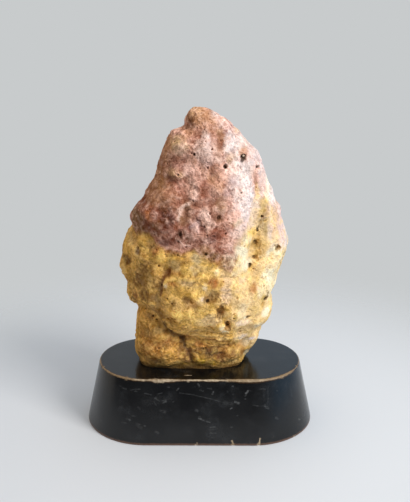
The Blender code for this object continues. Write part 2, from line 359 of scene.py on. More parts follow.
# Solution pits on the front: x, z, radius, depth, all in mm. A depth below 0 is a boss.
frontPits = [
    (31.3, 216.1, 2.0, 1.7), (31.4, 216.0, 1.0, -1.6), (18.2, 210.6, 1.7, 2.6), (20.6, 214.3, 2, 0.9),
    (15.5, 228.7, 0.8, 1), (9, 222.6, 0.9, 1.2), (-3.9, 219, 1.3, 1.6), (-5.7, 219.8, 0.8, 0.8),
    (-23.9, 210.9, 0.9, 1.2), (-15.3, 204.5, 0.9, 1.3), (5.7, 210, 1, 1.2), (19.3, 233.9, 0.7, 0.8),
    (25.9, 229.2, 0.8, 0.9), (24.6, 217.3, 0.7, 0.7), (23.1, 215.4, 0.6, 0.6), (13.5, 211.4, 0.7, 0.8),
    (29.1, 209.1, 0.7, 0.7), (28.5, 201.6, 0.7, 0.8), (41.4, 209, 1.1, 1.6), (43, 207.3, 1, 1.5),
    (39.4, 198.3, 0.8, 0.8), (29.6, 192.7, 0.9, 1.1), (46.4, 186.5, 0.7, 0.7), (27.4, 186, 0.7, 0.7),
    (9.6, 246.8, 0.8, 0.8), (-35.6, 179.7, 0.9, 1.2), (-37.2, 179.2, 0.7, 0.9), (-34.1, 180, 0.7, 0.9),
    (-4.1, 184.3, 1.6, 0.8), (-13.8, 164.3, 1.6, 1.2), (-15.1, 159.2, 1.3, 1), (-0.2, 174.2, 1.2, 0.6),
    (2.6, 170.4, 1, 0.6), (37.3, 180.5, 1, 1.3), (30.4, 182.3, 0.8, 0.6), (45.6, 173.8, 1.2, 1.5),
    (48.6, 170.3, 0.9, 1), (52.7, 168.7, 0.8, 0.9), (44.8, 170.1, 0.8, 0.6), (41.8, 163.7, 1.7, 2.2),
    (39.2, 152.7, 1.3, 0.6), (40.7, 154.3, 1.7, 1), (42.3, 156.1, 1.3, 0.6), (32.6, 154.4, 1.1, 1.2),
    (35.6, 151.3, 0.7, 0.7), (43.7, 149.5, 0.8, 0.8), (40.2, 143.6, 1.4, 1.1), (42, 142, 1.8, 0.8),
    (37, 138.2, 1.6, 2), (57.8, 148.2, 2.2, 2.8), (55.5, 150.4, 1.2, 1.2), (65.5, 140.1, 1.1, 1.2),
    (54.2, 143.8, 0.7, 0.6), (53.5, 140.8, 0.7, 0.6), (62.3, 140.6, 1.3, 0.8), (32.1, 168.5, 0.8, 0.9),
    (18.8, 165.1, 1, 1.2), (13.8, 176.7, 1.7, 1.2), (7.4, 179.7, 1.2, 1.2), (19.9, 175.4, 0.8, 0.8),
    (10.1, 163.3, 1.2, 0.8), (18.1, 140.8, 1, 1), (37.3, 134.3, 0.8, 0.6), (26.2, 160.9, 0.8, 0.5),
    (-24.3, 149, 0.8, 0.9), (-29.4, 139.8, 1.2, 1.2), (-15.6, 149.4, 0.9, 1), (-28.1, 124.9, 1.2, 1.8),
    (-23.1, 116.3, 0.9, 1.1), (-20.1, 113.1, 1.1, 1), (-35.5, 96.4, 1, 1.3), (-32.3, 94.1, 1, 1.3),
    (-4.9, 101.6, 0.7, 0.7), (-4.8, 107.8, 0.6, 0.5), (7.5, 105.1, 0.8, 0.7), (6.2, 115.9, 1.2, 1.5),
    (10, 119.7, 5, 1.2), (16.2, 109.6, 2.4, 1.6), (15.5, 106.8, 3.2, 1.7), (15.2, 103.8, 3.4, 1.5),
    (19.3, 96.2, 2.1, 1.8), (20.6, 94.2, 2.2, 1.8), (21.3, 92.2, 2.1, 1.4), (25.5, 103.6, 1, 1.3),
    (25.5, 100.3, 1, 1.2), (35.6, 98.8, 1, 1.2), (37.3, 98.7, 0.9, 1), (31.3, 83.6, 0.9, 1.1),
    (43.6, 86.5, 0.8, 0.8), (49.5, 109.6, 2, 2.2), (47.4, 106.7, 1.4, 0.9), (50.9, 114.4, 0.8, 1),
    (51.9, 112.5, 0.8, 1), (47.4, 122.9, 0.9, 0.5), (22.4, 129.2, 0.7, 0.6), (22.9, 132.8, 0.6, 0.5),
    (22.4, 72, 0.9, 1), (23.3, 73.6, 0.8, 0.8), (24.6, 83.8, 0.8, 0.5), (4.6, 150.4, 1.2, 1.3),
    (7.4, 148.6, 1.3, 0.7),
]
# Seeded pits all round, radius in mm, heights and aside in metres; depth is in radii.
# A share of those behind are wider.
scatteredPits = {
    "count": 210, "seed": 11, "heights": (0.056, 0.246), "aside": 0.02,
    "radius": (0.4, 0.95), "depth": 1.1, "wide": 2.3, "wideShare": 0.14,
}

# Ridges and cracks on the front: lift and half width in mm, pigment, strength, points as (x, z)
frontLines = [
    (1.1, 1.1, "palePink", 0.8, [(-15.6, 174), (-15.1, 176), (-13.1, 181.7), (-10.9, 184.5), (-8, 184.8)]),
    (-1.0, 2.0, "umber", 0.35, [(-12.2, 175.5), (-10.4, 180.5), (-7, 182)]),
    (-0.7, 1.2, "sienna", 0.5, [(-21.5, 139), (-23, 135.5), (-26.5, 131)]),
    (-0.6, 0.9, "brick", 0.6, [(-26.5, 131), (-27.2, 127), (-28.8, 123.5), (-28.1, 117)]),
    (-0.8, 1.1, "dusk", 0.6, [(-29.2, 98), (-25.1, 88.3), (-20.7, 84), (-13.3, 77.7), (-11, 71.9)]),
    (-0.8, 1.1, "dusk", 0.6, [(-11, 71.9), (-7.2, 63.7), (-5.7, 56)]),
    (-0.8, 1.3, "umber", 0.3, [(-7, 241.5), (-8, 238.5), (-9.5, 235.5)]),
    (0.7, 0.9, "honey", 0.6, [(-26, 125.5), (-22, 130.2), (-11.6, 132.4), (-1.6, 132), (5, 128)]),
    (-0.5, 0.8, "umber", 0.5, [(-24, 148), (-16, 149.6), (-9, 148.5)]),
    (-0.5, 0.8, "umber", 0.5, [(-43, 152.5), (-38, 151), (-34, 153.5)]),
    (0.5, 0.9, "honey", 0.5, [(-42, 154.5), (-38.5, 151.5), (-37, 148)]),
    (-0.6, 0.8, "sienna", 0.6, [(-11, 79.5), (2, 80.5), (14, 79), (22, 76.5)]),
    (0.5, 0.8, "sand", 0.4, [(-8, 83.5), (4, 84.6), (15, 83), (25, 79.5)]),
    (-0.5, 0.7, "umber", 0.5, [(-4, 87.5), (8, 88), (20, 86)]),
    (-0.6, 0.8, "dusk", 0.5, [(-4, 67), (4, 67.5), (12, 65), (20, 66)]),
    (-0.5, 0.7, "umber", 0.4, [(-45, 109), (-38, 106.5), (-33, 108)]),
    (-0.5, 0.8, "umber", 0.4, [(-12, 166), (-8, 161), (-9, 156)]),
    (0.5, 0.7, "palePink", 0.5, [(-15, 160), (-11, 156.5), (-7, 155.5)]),
    (-0.5, 0.7, "brick", 0.4, [(5, 205), (4, 199), (1.5, 194)]),
    (-0.4, 0.8, "tan", 0.4, [(40.5, 206), (40, 200), (42, 194)]),
]

# Low swells and hollows on the front, as the camera sees them: across and down to the middle,
# half width and half height in pixels of its view, then lift in mm
frontSwells = [
    (128, 247, 6, 7, 0.7), (126, 260, 4, 5, -0.8), (126, 270, 5, 6, 0.6), (131, 278, 4, 5, -0.4),
    (143, 240, 8, 6, 0.9), (138, 250, 3, 5, -0.8), (150, 253, 4, 5, -0.4), (161, 257, 8, 7, 0.9),
    (166, 273, 4, 5, -0.9), (145, 275, 10, 14, -0.5), (136, 292, 4, 6, 0.4), (152, 290, 7, 7, 0.5),
    (160, 287, 2.5, 6, -0.8), (185, 290, 8, 6, 0.6), (187, 301, 5, 4, -0.9), (197, 297, 5, 5, 0.7),
    (195, 308, 4, 7, -0.7), (172, 304, 4, 4, -0.5), (180, 314, 11, 6, 0.8), (168, 312, 5, 6, 0.5),
    (207, 300, 5, 5, -0.8), (214, 296, 5, 5, -0.6), (220, 325, 4, 5, 1), (212, 314, 5, 5, 0.7),
    (205, 325, 10, 4, 0.5), (212, 283, 5, 7, -0.7), (217, 271, 4, 6, 0.9), (203, 260, 6, 5, 0.5),
    (192, 268, 5, 6, 0.5), (181, 264, 7, 4, -0.5), (176, 274, 6, 4, 0.5), (228, 272, 4, 6, -0.7),
    (230, 262, 4, 6, -0.6), (236, 262, 5, 10, 0.5), (254, 287, 5, 6, -0.5), (246, 275, 8, 7, 0.5),
    (240, 296, 7, 7, 0.5), (268, 309, 4, 6, 0.6), (240, 331, 6, 5, -0.7), (246, 322, 6, 5, 0.5),
    (232, 316, 5, 6, 0.5), (150, 316, 5, 4, -1), (160, 322, 4, 6, -0.8), (143, 318, 5, 9, 0.6),
    (147, 332, 5, 5, -0.7), (161, 338, 8, 6, 0.8), (172, 350, 7, 6, 0.8), (150, 349, 7, 6, 0.6),
    (158, 362, 8, 4, -0.6), (140, 356, 3, 5, -0.6), (182, 345, 4, 9, -0.9), (196, 341, 8, 3, 0.6),
    (190, 346, 6, 5, -0.7), (215, 343, 8, 4, 0.6), (206, 350, 9, 2.5, -0.8), (203, 357, 8, 5, 1),
    (192, 357, 3, 6, -1), (219, 356, 5, 5, -0.9), (228, 351, 5, 5, 0.6), (238, 356, 5, 6, 0.5),
    (246, 346, 4, 6, 0.5), (168, 340, 4, 4, -0.4), (190, 126, 3, 5, -0.4), (199, 113, 6, 4, 0.4),
    (207, 125, 6, 7, 0.5), (220, 143, 4, 10, -0.8), (206, 141, 4, 9, 0.8), (214, 143, 3, 8, 0.5),
    (228, 146, 4, 9, 0.5), (233, 152, 6, 4, -0.5), (243, 157, 7, 6, -0.5), (227, 163, 6, 4, -0.5),
    (222, 172, 7, 6, 0.7), (211, 172, 3, 7, -0.6), (206, 176, 3, 6, 0.6), (183, 145, 8, 7, 0.6),
    (188, 156, 5, 5, -0.5), (177, 160, 9, 4, -0.7), (176, 173, 5, 5, 0.7), (169, 174, 3, 8, -0.6),
    (173, 181, 6, 4, -0.7), (190, 168, 7, 6, 0.6), (199, 165, 4, 5, -0.4), (196, 182, 6, 5, 0.6),
    (205, 193, 6, 6, -0.6), (214, 190, 6, 6, 0.5), (182, 190, 9, 6, 0.6), (193, 196, 3, 8, 0.5),
    (168, 196, 8, 6, 0.5), (178, 203, 6, 4, -0.5), (194, 206, 4, 4, -0.6), (204, 204, 8, 4, -0.6),
    (210, 212, 4, 5, -0.5), (203, 218, 7, 6, 0.8), (217, 217, 5, 5, -0.8), (226, 207, 5, 7, 0.5),
    (185, 214, 4, 8, -0.8), (177, 212, 3, 7, 0.5), (190, 222, 6, 4, 0.5), (182, 227, 5, 3, 0.5),
    (203, 228, 4, 4, -0.7), (197, 235, 7, 5, 0.5), (180, 234, 3, 4, -0.7), (170, 234, 8, 6, 0.5),
    (188, 241, 7, 4, -0.5), (175, 244, 6, 4, -0.5), (217, 234, 6, 7, -0.6), (208, 241, 6, 4, 0.4),
    (224, 240, 4, 6, 0.4), (152, 216, 6, 6, 0.6), (160, 216, 4, 7, -0.6), (146, 204, 6, 5, -0.6),
    (141, 214, 5, 4, 0.5), (143, 224, 5, 4, -0.5), (160, 228, 7, 4, 0.4), (235, 185, 7, 10, 0.4),
    (257, 180, 3, 9, -0.6), (264, 185, 3, 10, 0.5), (238, 200, 6, 6, -0.3), (246, 190, 5, 12, 0.4),
    (265, 208, 5, 7, -0.5), (271, 225, 3, 10, 0.6), (262, 225, 4, 8, -0.6), (255, 236, 5, 5, -0.5),
    (248, 238, 4, 5, 0.5), (255, 243, 4, 4, -0.7), (243, 247, 4, 6, 0.5), (259, 256, 5, 6, -0.6),
    (266, 248, 5, 6, 0.5), (278, 258, 5, 7, 0.4),
]

# Seeded swells and hollows on the sides and back, in mm and degrees
roundSwells = {
    "count": 130, "seed": 23, "angles": (-30, 210), "heights": (56, 240), "size": (2.5, 8.0), "lift": 1.0,
}

# What the stone is coloured with, as seen under a white light
pigments = {
    "rose": (188, 128, 104), "mauve": (160, 102, 84), "palePink": (236, 198, 180), "blush": (222, 168, 146),
    "lilac": (204, 170, 164), "tan": (188, 128, 84), "rust": (160, 76, 42), "orange": (194, 112, 48),
    "brick": (124, 62, 38), "plum": (92, 44, 38), "dusk": (64, 38, 22), "umber": (116, 74, 28),
    "sienna": (142, 82, 34), "clay": (154, 110, 50), "olive": (136, 104, 44), "slate": (120, 102, 86),
    "taupe": (162, 128, 80), "cream": (244, 226, 190), "ivory": (224, 202, 192), "peach": (238, 198, 140),
    "sand": (220, 180, 114), "honey": (238, 190, 96), "ochre": (210, 156, 70), "gold": (198, 144, 44),
    "amber": (168, 106, 28), "yellow": (206, 158, 26),
}

# Stains on the front, laid in this order, as the camera sees them: across and down to the middle,
# half width and half height in pixels of its view, then pigment and strength
frontStains = [
    (168, 150, 7, 14, "tan", 0.8), (160, 172, 6, 14, "sienna", 0.6), (152, 190, 6, 12, "sienna", 0.7),
    (165, 190, 10, 14, "tan", 0.35), (178, 185, 14, 16, "rose", 0.5), (146, 199, 8, 7, "brick", 0.6),
    (138, 222, 7, 16, "umber", 0.7), (150, 232, 14, 5, "umber", 0.55), (160, 222, 16, 14, "brick", 0.7),
    (175, 232, 12, 12, "brick", 0.45), (190, 150, 10, 12, "mauve", 0.3), (180, 145, 8, 7, "sand", 0.45),
    (222, 122, 8, 10, "blush", 0.6), (224, 115, 5, 5, "sand", 0.4), (235, 128, 6, 8, "blush", 0.5),
    (246, 142, 6, 8, "sand", 0.35), (242, 175, 16, 34, "ivory", 0.5), (246, 205, 8, 18, "ivory", 0.5),
    (228, 195, 7, 12, "lilac", 0.4), (257, 178, 4, 16, "blush", 0.6), (252, 172, 3, 6, "tan", 0.3),
    (268, 192, 5, 12, "peach", 0.5), (279, 215, 6, 16, "peach", 0.5), (283, 225, 4, 14, "palePink", 0.6),
    (160, 262, 14, 14, "gold", 0.3), (200, 268, 22, 12, "honey", 0.4), (190, 300, 26, 20, "gold", 0.4),
    (200, 318, 24, 9, "honey", 0.4), (155, 345, 20, 22, "amber", 0.5), (145, 330, 9, 22, "amber", 0.4),
    (215, 352, 22, 12, "amber", 0.35), (200, 118, 14, 9, "tan", 0.8), (190, 121, 4, 7, "umber", 0.3),
    (196, 112, 7, 4, "sand", 0.3), (207, 124, 8, 6, "blush", 0.4), (216, 115, 6, 6, "ivory", 0.7),
    (223, 122, 7, 6, "ivory", 0.6), (228, 128, 8, 6, "lilac", 0.6), (220, 133, 4, 4, "taupe", 0.4),
    (177, 135, 8, 6, "blush", 0.5), (171, 142, 5, 8, "tan", 0.4), (179, 146, 10, 9, "sand", 0.5),
    (166, 155, 6, 9, "tan", 0.45), (187, 140, 8, 6, "blush", 0.4), (196, 137, 6, 8, "rose", 0.5),
    (206, 138, 5, 8, "ivory", 0.6), (208, 150, 5, 6, "ivory", 0.7), (199, 147, 5, 6, "palePink", 0.5),
    (213, 141, 4, 8, "rose", 0.5), (221, 143, 4, 9, "tan", 0.8), (221, 145, 3, 5, "rust", 0.35),
    (217, 149, 4, 4, "tan", 0.5), (227, 147, 4, 9, "ivory", 0.5), (235, 140, 9, 9, "ivory", 0.9),
    (243, 148, 6, 8, "palePink", 0.5), (244, 152, 5, 4, "tan", 0.6), (252, 150, 5, 10, "ivory", 0.7),
    (231, 156, 5, 4, "taupe", 0.35), (230, 160, 3, 4, "taupe", 0.5), (222, 170, 7, 6, "blush", 0.5),
    (185, 153, 12, 8, "tan", 0.3), (172, 162, 9, 5, "plum", 0.35), (190, 170, 9, 8, "lilac", 0.4),
    (205, 160, 8, 8, "lilac", 0.4), (199, 172, 8, 8, "blush", 0.4), (176, 174, 9, 5, "sand", 0.4),
    (171, 179, 12, 4, "plum", 0.45), (200, 178, 6, 5, "mauve", 0.4), (210, 177, 4, 8, "tan", 0.5),
    (225, 175, 6, 10, "blush", 0.5), (235, 180, 5, 8, "lilac", 0.5), (243, 180, 7, 18, "ivory", 0.9),
    (247, 200, 7, 12, "ivory", 1), (240, 195, 6, 10, "palePink", 0.5), (256, 180, 4, 12, "blush", 0.6),
    (258, 190, 3, 8, "sand", 0.5), (263, 180, 4, 12, "palePink", 0.6), (268, 190, 3, 14, "cream", 0.7),
    (233, 170, 8, 8, "palePink", 0.5), (218, 185, 8, 10, "tan", 0.45), (205, 190, 8, 10, "rust", 0.3),
    (193, 192, 5, 14, "palePink", 0.4), (180, 190, 12, 12, "rose", 0.5), (165, 195, 10, 12, "tan", 0.5),
    (153, 190, 6, 10, "sienna", 0.6), (158, 180, 6, 10, "clay", 0.5), (147, 203, 7, 6, "brick", 0.75),
    (140, 208, 6, 6, "sienna", 0.5), (136, 220, 5, 10, "olive", 0.6), (142, 222, 5, 8, "umber", 0.5),
    (151, 216, 6, 6, "orange", 0.8), (153, 226, 5, 5, "brick", 0.7), (161, 215, 5, 8, "dusk", 0.7),
    (169, 218, 6, 6, "plum", 0.85), (165, 228, 10, 6, "brick", 0.55), (178, 226, 6, 6, "rust", 0.4),
    (186, 212, 6, 9, "olive", 0.6), (183, 222, 5, 4, "umber", 0.5), (194, 205, 5, 4, "umber", 0.55),
    (204, 216, 7, 7, "palePink", 0.55), (190, 227, 4, 4, "brick", 0.8), (199, 220, 3, 4, "plum", 0.7),
    (196, 228, 6, 6, "lilac", 0.45), (203, 228, 4, 4, "plum", 0.5), (180, 235, 4, 5, "dusk", 0.7),
    (190, 236, 10, 6, "mauve", 0.5), (170, 238, 10, 5, "brick", 0.55), (165, 243, 7, 4, "plum", 0.6),
    (195, 245, 10, 6, "mauve", 0.5), (215, 200, 6, 6, "brick", 0.3), (223, 205, 6, 9, "taupe", 0.35),
    (218, 218, 5, 4, "umber", 0.55), (210, 224, 6, 5, "palePink", 0.4), (218, 234, 8, 6, "rust", 0.6),
    (216, 236, 6, 4, "brick", 0.3), (212, 238, 6, 5, "plum", 0.5), (222, 246, 7, 7, "rust", 0.4),
    (205, 250, 8, 5, "clay", 0.45), (234, 215, 6, 8, "palePink", 0.6), (238, 222, 7, 5, "sand", 0.35),
    (235, 235, 6, 6, "palePink", 0.5), (240, 212, 7, 8, "ivory", 0.6), (212, 256, 9, 4, "umber", 0.65),
    (222, 262, 8, 6, "amber", 0.75), (228, 268, 4, 4, "amber", 0.6), (284, 232, 6, 20, "ivory", 0.8),
    (273, 228, 8, 26, "ivory", 0.5), (276, 256, 10, 14, "cream", 0.8), (270, 282, 10, 18, "cream", 0.6),
    (265, 205, 6, 7, "sand", 0.7), (264, 214, 5, 7, "clay", 0.5), (262, 228, 7, 9, "sand", 0.5),
    (260, 218, 4, 10, "olive", 0.3), (266, 230, 3, 8, "olive", 0.55), (258, 222, 5, 4, "olive", 0.4),
    (252, 233, 6, 6, "honey", 0.7), (247, 240, 5, 6, "cream", 0.6), (262, 243, 7, 7, "sand", 0.6),
    (255, 243, 4.5, 5, "olive", 0.7), (259, 256, 6, 6, "gold", 0.6), (243, 252, 8, 9, "cream", 1),
    (243, 265, 9, 7, "cream", 0.95), (262, 262, 9, 8, "peach", 0.7), (274, 215, 5, 14, "palePink", 0.8),
    (277, 235, 6, 8, "peach", 0.6), (275, 258, 8, 8, "cream", 0.95), (283, 252, 3, 3, "olive", 0.5),
    (268, 275, 8, 10, "cream", 0.7), (130, 240, 4, 6, "sand", 0.5), (128, 250, 6, 7, "gold", 0.6),
    (126, 260, 4, 5, "umber", 0.8), (124, 270, 4, 6, "sand", 0.6), (137.5, 251, 2.5, 4, "slate", 0.7),
    (142, 246, 4, 5, "honey", 0.7), (149, 242, 7, 4, "gold", 0.6), (146, 253, 6, 4, "amber", 0.5),
    (155, 249, 5, 6, "orange", 0.7), (161, 258, 5, 6, "honey", 0.8), (166, 265, 6, 5, "ochre", 0.5),
    (172, 262, 6, 5, "honey", 0.7), (183, 260, 8, 4, "amber", 0.35), (170, 252, 7, 3, "amber", 0.7),
    (196, 262, 4, 10, "honey", 0.7), (195, 271, 5, 5, "cream", 0.4), (201, 270, 6, 8, "honey", 0.7),
    (210, 265, 6, 6, "clay", 0.35), (217, 271, 3, 4, "cream", 0.5), (213, 283, 5, 5, "orange", 0.75),
    (225, 275, 6, 6, "peach", 0.6), (235, 272, 5, 5, "cream", 0.7), (238, 285, 8, 8, "peach", 0.6),
    (240, 280, 5, 4, "lilac", 0.3), (254, 289, 4.5, 5, "orange", 0.55), (262, 290, 6, 8, "cream", 0.6),
    (245, 297, 8, 6, "peach", 0.5), (230, 292, 7, 8, "taupe", 0.4), (213, 297, 8, 7, "amber", 0.6),
    # The peach and ivory spots at the start of the next line are a painted highlight beside a pit
    (202, 301, 6, 6, "peach", 0.6), (202, 300, 3, 3, "ivory", 0.4), (198, 291, 7, 6, "honey", 0.6),
    (205, 287, 3, 4, "cream", 0.5), (221, 326, 3, 5, "cream", 0.6), (213, 322, 7, 5, "peach", 0.5),
    (195, 314, 8, 7, "honey", 0.6), (208, 321, 14, 6, "peach", 0.8), (196, 322, 6, 4, "honey", 0.5),
    (191, 305, 6, 6, "amber", 0.75), (187, 300, 4, 3, "umber", 0.4), (172, 293, 6, 8, "honey", 0.4),
    (180, 315, 9, 6, "honey", 0.6), (172, 320, 6, 5, "amber", 0.5), (187, 273, 7, 4, "honey", 0.5),
    (176, 273, 5, 4, "orange", 0.4), (175, 285, 8, 3, "orange", 0.5), (165, 286, 2.5, 3, "cream", 0.6),
    (168, 273, 3, 5, "brick", 0.7), (163, 281, 2, 5, "dusk", 0.7), (160.5, 290, 2.5, 5, "dusk", 0.6),
    (145, 270, 10, 8, "clay", 0.7), (138, 280, 8, 10, "umber", 0.7), (150, 285, 8, 8, "clay", 0.7),
    (147, 297, 9, 8, "umber", 0.7), (131, 277, 3, 7, "gold", 0.5), (136, 295, 4, 5, "sienna", 0.7),
    (135, 301, 4, 4, "dusk", 0.6), (148, 262, 5, 4, "taupe", 0.5), (158, 298, 6, 5, "taupe", 0.6),
    (151, 308, 9, 5, "umber", 0.6), (141, 312, 5, 5, "amber", 0.6), (160, 314, 6, 5, "umber", 0.6),
    (150, 334, 6, 4, "taupe", 0.4), (140, 338, 4, 6, "gold", 0.4), (158, 331, 7, 4, "sand", 0.45),
    (165, 338, 8, 6, "orange", 0.5), (172, 353, 6, 4, "gold", 0.7), (150, 358, 8, 5, "sienna", 0.6),
    (160, 363, 9, 4, "dusk", 0.6), (180, 354, 3, 6, "taupe", 0.5), (165, 324, 3, 6, "dusk", 0.6),
    (172, 331, 7, 3, "dusk", 0.6), (182, 340, 3, 7, "dusk", 0.6), (195, 331, 10, 3, "taupe", 0.6),
    (210, 330, 10, 3, "taupe", 0.4), (205, 338, 14, 2, "sienna", 0.7), (200, 344, 9, 4, "orange", 0.45),
    (215, 345, 8, 4, "clay", 0.5), (222, 338, 6, 3, "sand", 0.4), (190, 350, 8, 3, "plum", 0.6),
    (188, 358, 4, 6, "mauve", 0.6), (200, 360, 7, 5, "yellow", 0.95), (213, 363, 6, 3, "yellow", 0.8),
    (212, 353, 8, 5, "dusk", 0.85), (207, 350, 12, 2.5, "plum", 0.6), (222, 357, 7, 8, "brick", 0.85),
    (229, 352, 5, 8, "amber", 0.7), (216, 347, 9, 3, "umber", 0.6), (232, 361, 6, 4, "sand", 0.6),
    (235, 354, 5, 5, "sand", 0.5), (242, 352, 4, 6, "sienna", 0.5), (246, 352, 3, 6, "cream", 0.6),
    (248, 343, 5, 3, "clay", 0.4), (252, 339, 4, 2, "ivory", 0.9), (250, 330, 8, 5, "sand", 0.3),
    (258, 325, 5, 5, "cream", 0.6), (266, 313, 4, 7, "cream", 0.8), (255, 310, 7, 7, "sand", 0.6),
    (240, 310, 8, 7, "peach", 0.5), (243, 322, 8, 4, "ivory", 0.4), (166, 148, 6, 12, "tan", 0.5),
    (158, 170, 5, 14, "sienna", 0.5), (150, 188, 5, 12, "sienna", 0.55), (140, 204, 7, 7, "brick", 0.5),
    (135, 222, 5, 14, "umber", 0.5), (150, 226, 12, 6, "brick", 0.5), (166, 222, 8, 12, "brick", 0.5),
    (222, 114, 8, 6, "blush", 0.5), (228, 122, 6, 6, "blush", 0.5), (238, 133, 6, 5, "blush", 0.4),
    (205, 118, 12, 10, "tan", 0.45), (214, 128, 10, 8, "tan", 0.3), (152, 195, 8, 16, "tan", 0.45),
    (160, 178, 7, 16, "tan", 0.35), (178, 195, 12, 12, "rust", 0.25), (170, 205, 10, 8, "sienna", 0.35),
    (194, 170, 14, 10, "blush", 0.4), (204, 156, 12, 8, "palePink", 0.5), (232, 276, 12, 18, "peach", 0.45),
    (228, 262, 5, 8, "cream", 0.35), (242, 310, 6, 8, "cream", 0.3), (225, 300, 6, 8, "sand", 0.4),
    (272, 190, 6, 16, "ivory", 0.45), (285, 222, 5, 20, "palePink", 0.6), (282, 240, 5, 10, "palePink", 0.4),
    (276, 205, 6, 10, "palePink", 0.4), (155, 345, 18, 14, "amber", 0.35), (175, 358, 10, 6, "amber", 0.35),
    (235, 345, 10, 6, "amber", 0.25), (244, 336, 6, 4, "ivory", 0.5), (236, 350, 5, 4, "sand", 0.5),
    (246, 341, 4, 5, "cream", 0.6), (238, 338, 5, 3, "cream", 0.4), (199, 360, 6, 4, "yellow", 0.6),
    (206, 362, 10, 3, "yellow", 0.5), (210, 351, 12, 3, "dusk", 0.4), (214, 318, 9, 6, "peach", 0.4),
    (180, 305, 12, 8, "sand", 0.3), (190, 316, 12, 6, "honey", 0.4), (220, 300, 8, 5, "peach", 0.35),
    # The pit spots that follow, up to the dusk one at 275.5 across: the dark ones are painted shade over the
    # pits' own brown, and the cream ones in the ring pit's middle and on pit lips are painted highlight
    (243.4, 157, 3.2, 3.2, "dusk", 0.95), (243.6, 157.4, 1.6, 1.4, "cream", 1),
    (225.4, 165, 2.6, 2, "dusk", 0.95), (258, 166.5, 2, 1.2, "dusk", 0.8),
    (220.5, 311, 5, 7.5, "umber", 0.7), (221.5, 306, 3, 3, "dusk", 0.6), (220, 314, 3.5, 3, "taupe", 0.5),
    (226, 322, 2.4, 2.6, "dusk", 0.75), (228, 326.5, 2.8, 3.5, "umber", 0.6),
    (221.5, 325.5, 3, 4, "cream", 0.9), (225, 331, 4, 2, "cream", 0.7), (235, 317, 2, 3.6, "olive", 0.9),
    (247.5, 316, 2.4, 1.8, "dusk", 0.6), (244, 317, 2, 1.6, "cream", 0.6), (265, 298, 3.2, 4, "olive", 0.9),
    (267.5, 293, 1.2, 4, "dusk", 0.6), (262.5, 304, 2.4, 3, "clay", 0.5),
    (206.7, 300.6, 1.6, 1.6, "dusk", 0.7), (214, 299, 6, 6, "clay", 0.8), (257, 243.5, 4, 4.5, "clay", 0.8),
    (277, 247, 3.5, 3.5, "clay", 0.7), (275.5, 247, 2, 2.4, "dusk", 0.5), (151, 214, 8, 8, "rust", 0.45),
    (149, 216, 4, 4, "orange", 0.6), (166, 219, 8, 8, "plum", 0.6), (163, 226, 6, 5, "brick", 0.5),
    (155, 225, 6, 5, "umber", 0.4), (150, 350, 13, 13, "amber", 0.35), (232, 353, 14, 9, "amber", 0.35),
    (150, 350, 12, 8, "sienna", 0.25), (228, 356, 10, 6, "sienna", 0.3), (180, 150, 8, 7, "palePink", 0.35),
    (240, 118, 4, 4, "sand", 0.3), (203, 255, 3, 2, "ivory", 0.4), (231, 243, 3, 8, "palePink", 0.5),
    (206, 256, 8, 4, "clay", 0.6), (214, 258, 8, 4, "umber", 0.35), (276, 217, 7, 18, "blush", 0.45),
    (276, 212, 6, 14, "sand", 0.35), (274, 260, 8, 8, "peach", 0.55), (150, 352, 12, 12, "amber", 0.25),
    (208, 321, 14, 5, "sand", 0.35), (252, 245, 6, 6, "sand", 0.5), (218, 150, 6, 10, "palePink", 0.3),
    (205, 148, 10, 10, "palePink", 0.3), (262, 205, 4, 7, "olive", 0.35), (283, 215, 4, 22, "lilac", 0.5),
    (274, 195, 5, 12, "ivory", 0.4), (268, 210, 3, 8, "blush", 0.3), (226, 292, 5, 13, "palePink", 0.35),
    (207, 321, 13, 6, "sand", 0.4), (179, 351, 7, 9, "amber", 0.4), (185, 285, 10, 7, "honey", 0.45),
    (236, 340, 9, 5, "umber", 0.25), (256, 217, 7, 10, "peach", 0.35), (197, 259, 6, 5, "cream", 0.4),
    (235, 216, 6, 7, "blush", 0.8), (175, 266, 6, 6, "sand", 0.8), (225, 264, 5, 6, "clay", 0.5),
    (189, 283, 9, 5, "peach", 0.75), (210, 321, 9, 8, "peach", 0.75), (188, 213, 6, 5, "blush", 0.55),
    (157, 273, 6, 6, "amber", 0.7), (204, 259, 5, 4, "sand", 0.4), (155, 215, 5, 6, "brick", 0.7),
    (185, 356, 5, 5, "umber", 0.65), (187, 158, 6, 5, "blush", 0.65), (230, 325, 6, 4, "sand", 0.4),
    (264, 290, 6, 8, "sand", 0.45), (219, 159, 5, 5, "palePink", 0.5), (179, 169, 6, 5, "mauve", 0.5),
    (245, 343, 5, 5, "clay", 0.35), (201, 269, 5, 4, "peach", 0.5), (229, 350, 5, 5, "umber", 0.4),
    (174, 346, 6, 6, "amber", 0.4), (214, 193, 5, 6, "blush", 0.45), (257, 242, 5, 5, "sand", 0.45),
    (270, 218, 5, 8, "sand", 0.4), (250, 154, 6, 6, "blush", 0.35), (163, 337, 6, 6, "amber", 0.5),
    (152, 245, 6, 5, "amber", 0.3), (152, 245, 6, 5, "sand", 0.4), (250, 326, 6, 5, "peach", 0.5),
    (230, 321, 5, 5, "peach", 0.35), (194, 244, 5, 5, "rose", 0.55), (196, 178, 6, 5, "mauve", 0.45),
    (172, 158, 5, 6, "rose", 0.5), (225, 313, 6, 4, "sand", 0.5), (212, 294, 5, 5, "sand", 0.5),
    (230, 201, 5, 6, "rose", 0.45), (196, 206, 6, 5, "rose", 0.5), (187, 132, 6, 6, "tan", 0.5),
    (213, 356, 6, 4, "umber", 0.5), (228, 241, 5, 6, "rose", 0.45),
]

